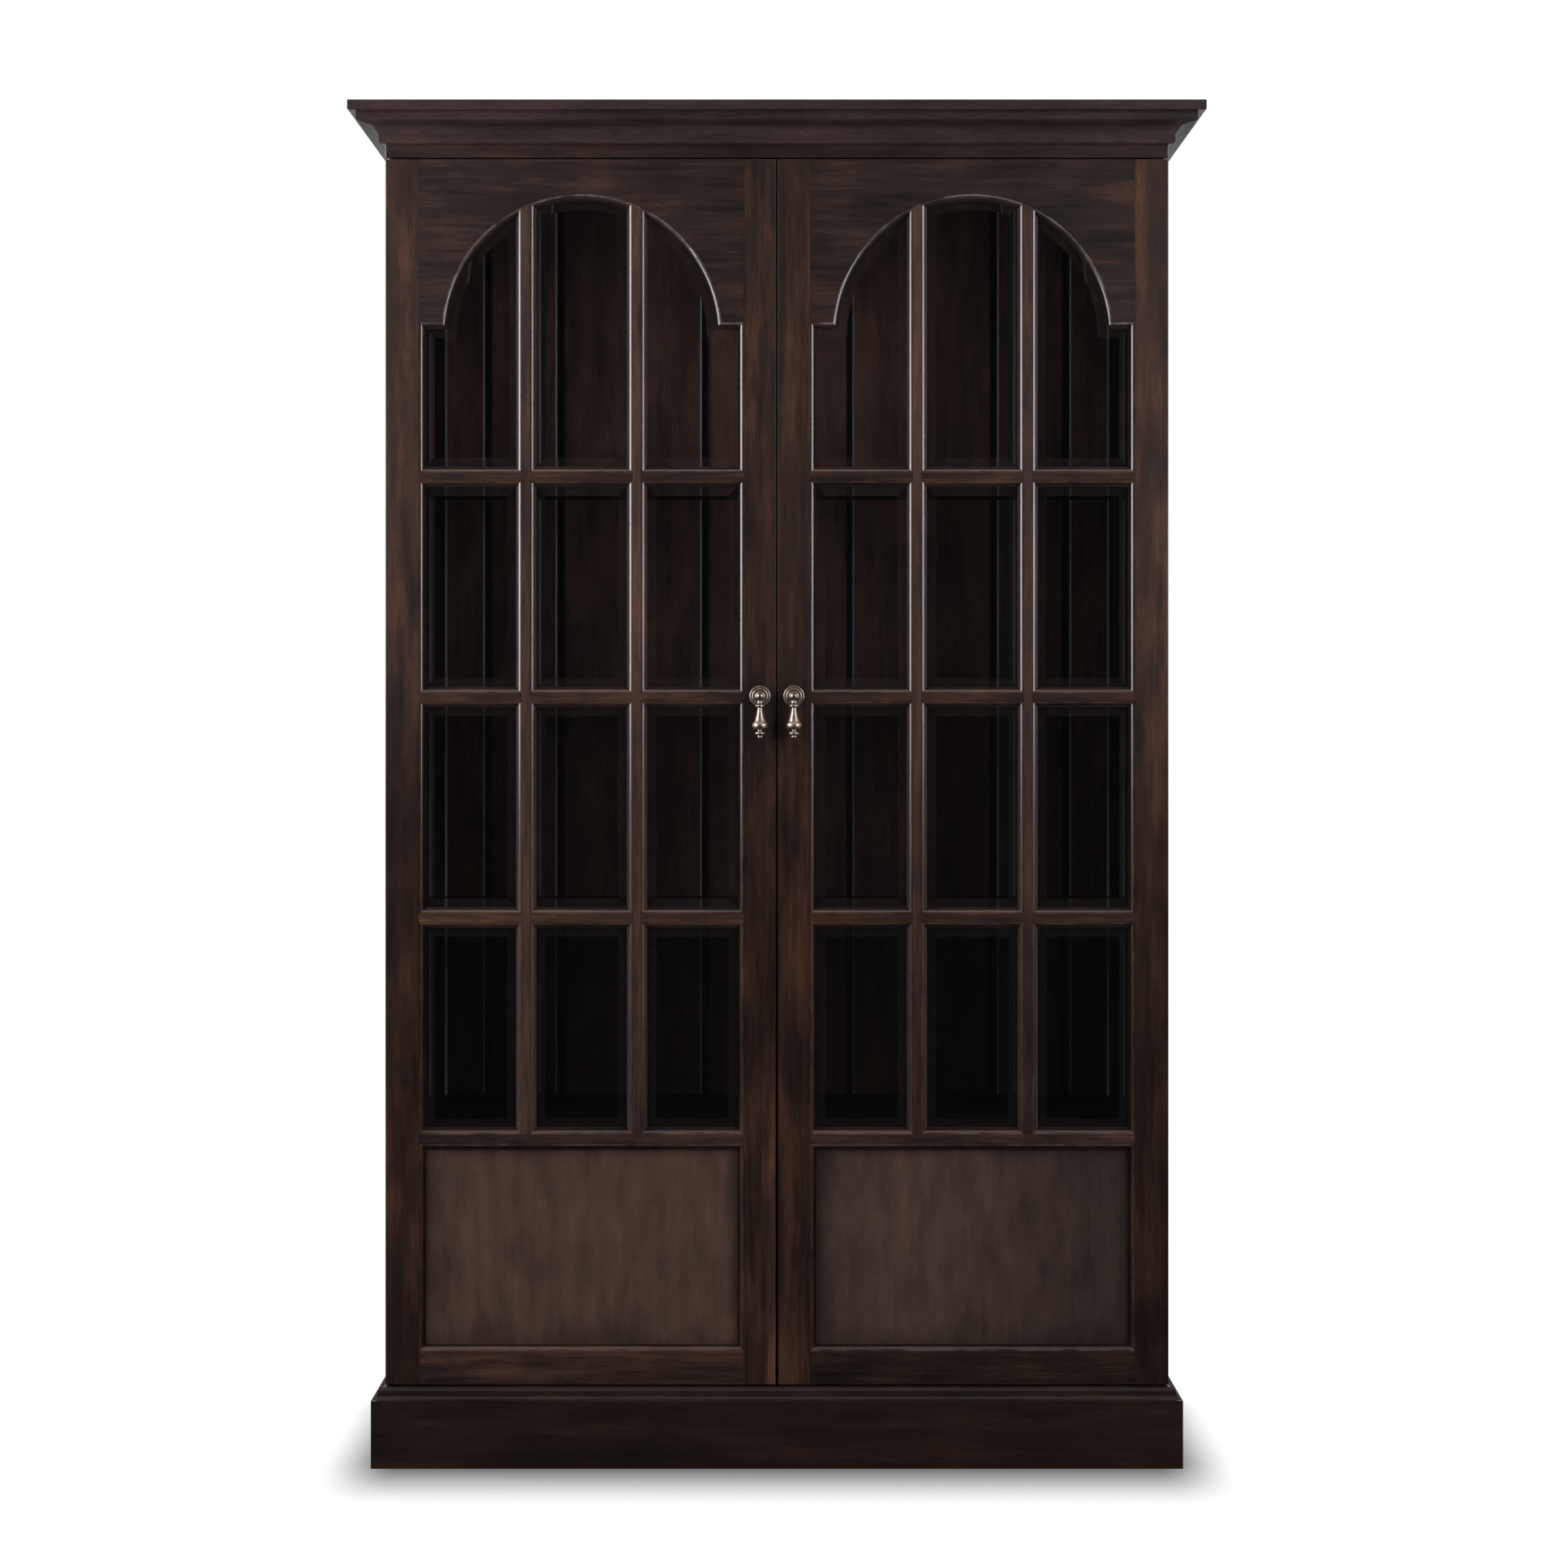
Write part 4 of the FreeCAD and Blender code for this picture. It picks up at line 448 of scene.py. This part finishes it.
def rubbed_and_highlit_crests(tree, place):
    """Share of rubbed stain and painted highlight on the crests of the door mouldings, by the face and
    beside the fillet.
    """
    depth = door_depth(tree, place)
    outer, inner = (band(tree, depth, *crest) for crest in CREST_BANDS)
    rub_and_highlight = spread(tree, noise(tree, place, RUB_AND_HIGHLIGHT), *RUB_AND_HIGHLIGHT_STEP)
    return calc(tree, "MULTIPLY", calc(tree, "MAXIMUM", outer, inner), rub_and_highlight)


def fillet_shade_and_sheen(tree, place):
    """Share of painted shade on the flat fillets of the door mouldings, beside the glass and the panels;
    on the uprights a painted sheen takes its place.
    """
    ahead = spread(tree, object_normal(tree)["Y"], *FRONT_FACE_STEP)
    return calc(tree, "MULTIPLY", ahead, band(tree, door_depth(tree, place), *FILLET_BAND))


# Gloss by place

def frame_gloss(tree, place):
    """Share of lacquer left on the door frames: worn towards the floor and on the outer edges."""
    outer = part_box("right_hinge_stile")[1].x
    edge = [outer - inset for inset in OUTER_EDGE_INSETS]
    outside = spread(tree, from_middle(tree, place), *edge, 1.0, OUTER_EDGE_GLOSS)
    return calc(tree, "MULTIPLY", outside, spread(tree, axes_of(tree, place)["Z"], *FRAME_GLOSS_STEP))


def meeting_gloss(tree, place):
    """Share of lacquer left on the meeting stiles: little on the arrises where the two doors meet."""
    arris = spread(tree, from_middle(tree, place), *MEETING_GLOSS_STEP)
    return calc(tree, "MULTIPLY", arris, frame_gloss(tree, place))


def cornice_gloss(tree, place):
    """Share of lacquer left on the cornice: little on its undersides, on top and at the back."""
    normal = object_normal(tree)
    below = spread(tree, normal["Z"], *SOFFIT_GLOSS_STEP)
    hidden = spread(tree, calc(tree, "MAXIMUM", normal["Y"], normal["Z"]), *HIDDEN_GLOSS_STEP)
    return calc(tree, "MULTIPLY", below, hidden)


# Colour by place

def by_height(tree, z, steps):
    """Product of what the steps give at a height."""
    factor = 1.0
    for step in steps:
        factor = calc(tree, "MULTIPLY", factor, spread(tree, z, *step))
    return factor


def painted_light_by_height(left, right):
    """Detail that paints light and shade into a wood, lighter or darker by height, in steps for each of
    the two doors.
    """
    def detail(tree, place, colour):
        axes = axes_of(tree, place)
        doors = {"Factor": spread(tree, axes["X"], *DOOR_CHANGE_STEP),
                 "A": by_height(tree, axes["Z"], left), "B": by_height(tree, axes["Z"], right)}
        return scaled(tree, colour, put(tree, "ShaderNodeMix", doors).outputs["Result"])
    return detail


def joint_colour(tree, place, colour):
    """The rails' colour: darker at the hairline joints with the stiles."""
    x = from_middle(tree, place)
    for line in JOINT_LINES_X:
        away = calc(tree, "ABSOLUTE", calc(tree, "SUBTRACT", x, line))
        colour = blend(tree, spread(tree, away, *RAIL_JOINT_STEP), colour, RAIL_JOINT_COLOUR)
    return colour


def meeting_colour(tree, place, colour):
    """The meeting stiles' colour: darker with painted shade on the edges where the two doors meet."""
    edge = spread(tree, from_middle(tree, place), *MEETING_SHADE_STEP)
    return blend(tree, edge, scaled(tree, colour, MEETING_TONE), MEETING_PAINTED_SHADE)


def shelf_colour(tree, place, colour):
    """The shelves' colour: darker towards the floor, as painted shade."""
    return scaled(tree, colour, spread(tree, axes_of(tree, place)["Z"], *SHELF_SHADE_STEP))


def batten_colour(tree, place, colour):
    """The corner battens' colour: a painted grey highlight on the face that looks into the case and on
    its arris.
    """
    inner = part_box("back_battens")[1].x - BATTEN_WIDTH
    away = calc(tree, "SUBTRACT", from_middle(tree, place), inner)
    return blend(tree, spread(tree, away, *BATTEN_HIGHLIGHT_STEP), colour, BATTEN_PAINTED_HIGHLIGHT)


def board_joints(tree, x):
    """Share of the dark lines where the back boards meet."""
    wrap = {0: x, 1: BOARD_PITCH / 2, 2: -BOARD_PITCH / 2}
    away = calc(tree, "ABSOLUTE", put(tree, "ShaderNodeMath", wrap, operation="WRAP").outputs[0])
    return spread(tree, away, *BOARD_JOINT_STEP)


def board_colour(tree, place, colour):
    """The back boards' colour: lighter high up as painted light, a painted grey highlight on lit edges,
    painted shade in grooves and low down inside, and dark joints.
    """
    x, y, z = axes_of(tree, place)
    # Painted light: lighter high up
    colour = scaled(tree, colour, spread(tree, z, *BOARD_PAINTED_LIGHT_STEP))
    depth = calc(tree, "SUBTRACT", y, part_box("back_boards")[0].y)
    # Painted highlight on the edges that face into the case
    inward = calc(tree, "MULTIPLY", object_normal(tree)["X"], calc(tree, "SIGN", x))
    lit = spread(tree, inward, *LIT_EDGE_STEP)
    edge = calc(tree, "MULTIPLY", band(tree, depth, *BOARD_EDGE_BAND), lit)
    colour = blend(tree, edge, colour, BOARD_EDGE_HIGHLIGHT)
    at_back = spread(tree, depth, *BOARD_BACK_STEP)
    line = calc(tree, "MULTIPLY", board_joints(tree, x), at_back)
    colour = blend(tree, line, colour, BOARD_JOINT_COLOUR)
    # Painted shade in the grooves and low down
    groove = spread(tree, depth, *GROOVE_SHADE_STEP)
    light = calc(tree, "MULTIPLY", groove, spread(tree, z, *BOARD_SHADE_STEP))
    light = calc(tree, "MAXIMUM", light, at_back)
    return blend(tree, light, BOARD_PAINTED_SHADE, colour)


# Wood

def lacquered(tree, colour, wood, coat, specular):
    """Lacquer over stained wood, with the fibres and pores faintly in its surface."""
    rough = spread(tree, wood["Fibre"], *LACQUER_ROUGHNESS)
    height = calc(tree, "SUBTRACT", wood["Fibre"], calc(tree, "MULTIPLY", wood["Pores"], PORE_SINK))
    bump = bumped(tree, height, *WOOD_RELIEF)
    surface(tree, {"Base Color": colour, "Roughness": rough, "Normal": bump,
                   "Specular IOR Level": specular, "Coat Weight": coat, "Coat IOR": COAT_IOR,
                   "Coat Roughness": COAT_ROUGHNESS})


def wood_material(name, group, run, stops, coat, wear, streaks=1.0, blotches=0.46, specular=0.06,
                  crest=CREST_RUB_AND_HIGHLIGHT, fillet=FILLET_PAINTED_SHADE, boards=False, details=()):
    """Stained wood with its grain along x, y or z, rubbed lighter in patches."""
    material, tree = new_material(name)
    place = object_place(tree)
    vector = grain_vector(tree, place, run)
    if boards:
        vector = board_vector(tree, place, vector)
    wood = grain(tree, group, vector)
    blotch = calc(tree, "SUBTRACT", noise(tree, vector, BLOTCH), NOISE_MIDDLE)
    streak = calc(tree, "SUBTRACT", wood["Tone"], NOISE_MIDDLE)
    tone = weighed(tree, blotch, blotches, weighed(tree, streak, streaks, NOISE_MIDDLE))
    colour = ramp(tree, tone, stops)
    patches = spread(tree, noise(tree, vector, WORN), *PATCH_STEP)
    worn = calc(tree, "MULTIPLY", patches, spread(tree, wood["Fibre"], *WORN_FIBRE_STEP))
    colour = blend(tree, calc(tree, "MULTIPLY", worn, wear), colour, WORN_COLOUR)
    colour = blend(tree, calc(tree, "MULTIPLY", wood["Pores"], PORE_SHARE), colour, PORE_COLOUR)
    for detail in details:
        colour = detail(tree, place, colour)
    # The fillets get painted shade, and on the uprights a painted sheen
    colour = blend(tree, fillet_shade_and_sheen(tree, place), colour, fillet)
    # The crests get rubbed stain and a painted highlight
    colour = blend(tree, rubbed_and_highlit_crests(tree, place), colour, crest)
    weight = coat(tree, place) if callable(coat) else coat
    lacquered(tree, colour, wood, weight, specular)
    return material


def darkened_panel_edges(tree, node, place):
    """Share of darkening at a panel's edges, most of it at the left and below."""
    low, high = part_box(node)
    axes = axes_of(tree, place)
    x, z = axes["X"], axes["Z"]
    near = calc(tree, "SUBTRACT", x, low.x)
    gaps = ((high.x, x), (z, low.z), (high.z, z))
    for (upper, lower), weight in zip(gaps, PANEL_EDGE_WEIGHTS):
        gap = calc(tree, "SUBTRACT", upper, lower)
        near = calc(tree, "MINIMUM", near, calc(tree, "MULTIPLY", gap, weight))
    ragged = calc(tree, "SUBTRACT", noise(tree, place, RAGGED), NOISE_MIDDLE)
    near = weighed(tree, ragged, PANEL_EDGE_RAGGED, near)
    return spread(tree, near, *PANEL_EDGE_STEP)


def veneer_material(name, group, node, tints):
    """Matt veneer of a lower panel: fine upright flecks, darker at the edges."""
    material, tree = new_material(name)
    place = object_place(tree)
    wood = grain(tree, group, place)
    fleck = noise(tree, place, FLECK)
    tone = calc(tree, "MULTIPLY", noise(tree, place, SMUDGE), SMUDGE_WEIGHT)
    tone = weighed(tree, wood["Tone"], VENEER_GRAIN_WEIGHT, tone)
    tone = weighed(tree, fleck, FLECK_WEIGHT, tone)
    colour = ramp(tree, tone, VENEER_STOPS)
    colour = blend(tree, darkened_panel_edges(tree, node, place), colour, PANEL_EDGE_COLOUR)
    low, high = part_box(node)
    start = low.x + PANEL_FADE_START * (high.x - low.x)
    fade = spread(tree, axes_of(tree, place)["X"], start, high.x)
    colour = blend(tree, 1.0, colour, blend(tree, fade, *tints), "MULTIPLY")
    rough = spread(tree, fleck, *VENEER_ROUGHNESS)
    bump = bumped(tree, fleck, *VENEER_RELIEF)
    surface(tree, {"Base Color": colour, "Roughness": rough, "Normal": bump,
                   "Specular IOR Level": VENEER_SPECULAR})
    return material


# Glass, metal and plastic

def glass_material():
    """Clear plate glass, faintly rough on its bevels, where a warm diffuse share paints in a reflection.
    """
    material, tree = new_material("bevelled_glass_clear")
    bevel = spread(tree, calc(tree, "ABSOLUTE", object_normal(tree)["Y"]), *BEVEL_STEP)
    tint_and_painted_reflection = blend(tree, bevel, GLASS_TINT, BEVEL_PAINTED_REFLECTION)
    rough = spread(tree, bevel, 0.0, 1.0, 0.0, BEVEL_HAZE)
    clear = spread(tree, bevel, 0.0, 1.0, 1.0, BEVEL_CLEARNESS)
    surface(tree, {"Base Color": tint_and_painted_reflection, "Roughness": rough, "IOR": GLASS_IOR,
                   "Transmission Weight": clear})
    return material


def brass_material(drop):
    """Antique brass: warm and grey by turns, dark in the hollows, more golden on the drop's bulb."""
    material, tree = new_material("antique_brass_worn")
    place = object_place(tree)
    tarnish = noise(tree, place, TARNISH)
    colour = ramp(tree, tarnish, BRASS_STOPS)
    low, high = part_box(drop)
    ends = [low.z + share * (high.z - low.z) for share in BULB_SHARES]
    rise, fall = ((end - BULB_FADE, end + BULB_FADE) for end in ends)
    golden = band(tree, axes_of(tree, place)["Z"], rise, fall)
    colour = blend(tree, calc(tree, "MULTIPLY", golden, BULB_GOLD), colour, BULB_COLOUR)
    hollow = put(tree, "ShaderNodeAmbientOcclusion", {"Distance": HOLLOW_WIDTH}, samples=HOLLOW_SAMPLES)
    patina = spread(tree, hollow.outputs["AO"], *HOLLOW_STEP)
    colour = blend(tree, patina, colour, PATINA_COLOUR)
    rough = spread(tree, tarnish, *BRASS_ROUGHNESS)
    bump = bumped(tree, noise(tree, place, SCRATCH), *BRASS_RELIEF)
    surface(tree, {"Base Color": colour, "Metallic": 1.0, "Roughness": rough, "Normal": bump})
    return material


def steel_material():
    """Zinc plated steel with fine brush lines and dull spots."""
    material, tree = new_material("hinge_steel_plated")
    place = object_place(tree)
    brush = noise(tree, place, BRUSH)
    colour = ramp(tree, noise(tree, place, SPOTS), STEEL_STOPS)
    rough = spread(tree, brush, *STEEL_ROUGHNESS)
    bump = bumped(tree, brush, *STEEL_RELIEF)
    surface(tree, {"Base Color": colour, "Metallic": 1.0, "Roughness": rough, "Normal": bump})
    return material


def plastic_material():
    """Dark brown moulded plastic with a fine eggshell grain."""
    material, tree = new_material("catch_plastic_moulded")
    place = object_place(tree)
    eggshell = noise(tree, place, EGGSHELL)
    colour = ramp(tree, noise(tree, place, CLOUD), PLASTIC_STOPS)
    rough = spread(tree, eggshell, *PLASTIC_ROUGHNESS)
    bump = bumped(tree, eggshell, *PLASTIC_RELIEF)
    surface(tree, {"Base Color": colour, "Roughness": rough, "Normal": bump})
    return material


# Which node gets which material

def plain_name(node):
    """The node's name without the side of its door."""
    for side in ("left_", "right_"):
        if node.startswith(side):
            return node[len(side):]
    return node


def finishes(group):
    """The material of each set of nodes, apart from the lower panels."""
    return {
        SIDES: wood_material("stained_wood_sides", group, "z", STAIN_STOPS, coat=0.3, wear=0.6,
                             streaks=0.8, specular=0.0),
        HINGE_STILES: wood_material("stained_wood_hinge_stiles", group, "z", STAIN_STOPS,
                                    coat=frame_gloss, wear=0.75, streaks=0.55,
                                    details=(painted_light_by_height(*HINGE_GRADES),)),
        MEETING_STILES: wood_material("stained_wood_meeting_stiles", group, "z", STAIN_STOPS,
                                      coat=meeting_gloss, wear=0.75, streaks=0.8,
                                      details=(painted_light_by_height(*MEETING_GRADES), meeting_colour)),
        BARS: wood_material("stained_wood_bars", group, "x", STAIN_STOPS, coat=0.9, wear=0.8,
                            details=(painted_light_by_height(*BAR_GRADES),)),
        UPRIGHTS: wood_material("stained_wood_bar_uprights", group, "z", UPRIGHT_STOPS,
                                coat=frame_gloss, wear=0.6, fillet=UPRIGHT_FILLET_PAINTED_SHEEN,
                                details=(painted_light_by_height(*UPRIGHT_GRADES),)),
        TOP_RAILS: wood_material("stained_wood_top_rails", group, "x", RAIL_STOPS, coat=0.75, wear=0.6,
                                 streaks=0.9, blotches=0.5, crest=ARCH_CREST_RUB_AND_HIGHLIGHT,
                                 details=(joint_colour,)),
        LOW_RAILS: wood_material("stained_wood_low_rails", group, "x", LOW_RAIL_STOPS, coat=0.6,
                                 wear=0.8, crest=RAIL_CREST_RUB_AND_HIGHLIGHT,
                                 details=(painted_light_by_height(*LOW_RAIL_GRADES), joint_colour)),
        CROWN: wood_material("stained_wood_crown", group, "x", CROWN_STOPS, coat=cornice_gloss,
                             wear=0.2, streaks=0.5, specular=0.0),
        FRIEZE: wood_material("stained_wood_frieze", group, "x", CORNICE_STOPS, coat=cornice_gloss,
                              wear=0.1, streaks=0.6, specular=0.0),
        RETURNS: wood_material("stained_wood_returns", group, "y", CORNICE_STOPS, coat=0.12, wear=0.2,
                               specular=0.0),
        PLINTH: wood_material("stained_wood_plinth", group, "x", PLINTH_STOPS, coat=0.15, wear=0.3,
                              streaks=0.5, blotches=0.3),
        BOARDS: wood_material("inner_wood_boards", group, "z", INNER_STOPS, coat=0.12, wear=0.3,
                              streaks=0.5, specular=0.0, boards=True, details=(board_colour,)),
        BATTENS: wood_material("inner_wood_battens", group, "z", SHELF_STOPS, coat=0.12, wear=0.1,
                               specular=0.0, details=(batten_colour,)),
        SHELVES: wood_material("inner_wood_shelves", group, "x", SHELF_STOPS, coat=0.12, wear=0.1,
                               specular=0.0, details=(shelf_colour,)),
        PANES: glass_material(),
        BRASS: brass_material("left_pull_drop"),
        STEEL: steel_material(),
        CATCHES: plastic_material(),
    }


def dress():
    """Gives every node its material."""
    group = grain_group()
    chosen = {name: material for names, material in finishes(group).items() for name in names}
    for node, piece in NODES.items():
        name = plain_name(node)
        if name == "lower_panel":
            material = veneer_material("panel_veneer_" + node, group, node, PANEL_TINTS[node])
        else:
            material = chosen[name]
        for slot in piece.material_slots:
            slot.material = material
        if name in PANES:
            piece.visible_shadow = False


# Studio

def contact_shade(tree):
    """Brightness of the floor, which falls off towards the plinth on all four sides."""
    place = object_place(tree)
    y = axes_of(tree, place)["Y"]
    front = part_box("plinth_front")[0].y
    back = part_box("plinth_left")[1].y
    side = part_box("plinth_right")[1].x
    beside = spread(tree, calc(tree, "SUBTRACT", from_middle(tree, place), side), *SHADE_AROUND_STEP)
    ahead = spread(tree, calc(tree, "SUBTRACT", front, y), *SHADE_AHEAD_STEP)
    behind = spread(tree, calc(tree, "SUBTRACT", y, back), *SHADE_AROUND_STEP)
    covered = calc(tree, "MULTIPLY", calc(tree, "MULTIPLY", beside, ahead), behind)
    return calc(tree, "SUBTRACT", FLOOR_GLOW, calc(tree, "MULTIPLY", covered, FLOOR_GLOW))


def floor_material():
    """Pale matt floor, white to the eye and, behind the doors, through the glass, but for its shade."""
    material, tree = new_material("pale_floor")
    path = put(tree, "ShaderNodeLightPath").outputs
    y = axes_of(tree, object_place(tree))["Y"]
    through = calc(tree, "MULTIPLY", path["Is Transmission Ray"], spread(tree, y, DOOR_FRONT_Y, 0.0))
    seen = calc(tree, "MAXIMUM", path["Is Camera Ray"], through)
    matt = put(tree, "ShaderNodeBsdfDiffuse", {"Color": FLOOR_GREY})
    glow = put(tree, "ShaderNodeEmission", {"Color": WHITE, "Strength": contact_shade(tree)})
    share = calc(tree, "MULTIPLY", seen, FLOOR_GLOW_SHARE)
    total = put(tree, "ShaderNodeMixShader", {0: share, 1: matt.outputs[0], 2: glow.outputs[0]})
    put(tree, "ShaderNodeOutputMaterial", {"Surface": total.outputs[0]})
    return material


def floor():
    """Plain level floor under the plinth."""
    mesh = bpy.data.meshes.new("floor")
    corners = [(-FLOOR_REACH, FLOOR_FRONT_Y, 0.0), (FLOOR_REACH, FLOOR_FRONT_Y, 0.0),
               (FLOOR_REACH, FLOOR_REACH, 0.0), (-FLOOR_REACH, FLOOR_REACH, 0.0)]
    mesh.from_pydata(corners, [], [(0, 1, 2, 3)])
    mesh.materials.append(floor_material())
    plane = bpy.data.objects.new("floor", mesh)
    plane.visible_glossy = False
    bpy.context.scene.collection.objects.link(plane)


def backdrop():
    """White backdrop all round for the eye, dim in front for the reflections, grey as light."""
    world = bpy.data.worlds.new("studio")
    bpy.context.scene.world = world
    world.use_nodes = True
    tree = world.node_tree
    tree.nodes.clear()
    path = put(tree, "ShaderNodeLightPath").outputs
    y = axes_of(tree, put(tree, "ShaderNodeTexCoord").outputs["Generated"])["Y"]
    strength = AMBIENT
    for ray, brightness in (("Is Glossy Ray", spread(tree, y, *REFLECTED_STEP)),
                            ("Is Transmission Ray", spread(tree, y, *REFRACTED_STEP)),
                            ("Is Camera Ray", 1.0)):
        choice = put(tree, "ShaderNodeMix", {"Factor": path[ray], "A": strength, "B": brightness})
        strength = choice.outputs["Result"]
    shader = put(tree, "ShaderNodeBackground", {"Color": WHITE, "Strength": strength})
    put(tree, "ShaderNodeOutputWorld", {"Surface": shader.outputs[0]})


def softbox(name, place, aim, size, brightness, colour):
    """Rectangular soft light at a place, aimed at a point, with an even brightness."""
    lamp = bpy.data.lights.new(name, "AREA")
    lamp.shape = "RECTANGLE"
    lamp.size, lamp.size_y = size
    lamp.energy = brightness * math.pi * size[0] * size[1]
    lamp.color = colour
    holder = bpy.data.objects.new(name, lamp)
    holder.location = place
    holder.rotation_euler = (Vector(aim) - Vector(place)).to_track_quat("-Z", "Y").to_euler()
    holder.visible_transmission = False
    holder.visible_camera = False
    bpy.context.scene.collection.objects.link(holder)


def lights():
    """A wide softbox near the left side, a narrower one on the right, and weaker ones round the case."""
    for row in SOFTBOXES:
        softbox(*row)


def camera():
    """Level camera in front of the doors, framed as in the photograph."""
    data = bpy.data.cameras.new("camera")
    data.sensor_width = SENSOR_MM
    focal_pixels = CAMERA_DISTANCE * MM_PER_METRE / MM_PER_PIXEL
    data.lens = focal_pixels / IMAGE_PIXELS * SENSOR_MM
    data.shift_x = (IMAGE_PIXELS / 2 - VANISHING_PIXEL[0]) / IMAGE_PIXELS
    data.shift_y = (VANISHING_PIXEL[1] - IMAGE_PIXELS / 2) / IMAGE_PIXELS
    holder = bpy.data.objects.new("camera", data)
    holder.location = (CAMERA_X, DOOR_FRONT_Y - CAMERA_DISTANCE, EYE_HEIGHT)
    holder.rotation_euler = (math.pi / 2, 0.0, 0.0)
    bpy.context.scene.collection.objects.link(holder)
    bpy.context.scene.camera = holder


dress()
floor()
backdrop()
lights()
camera()
bpy.context.scene.view_settings.view_transform = "Standard"
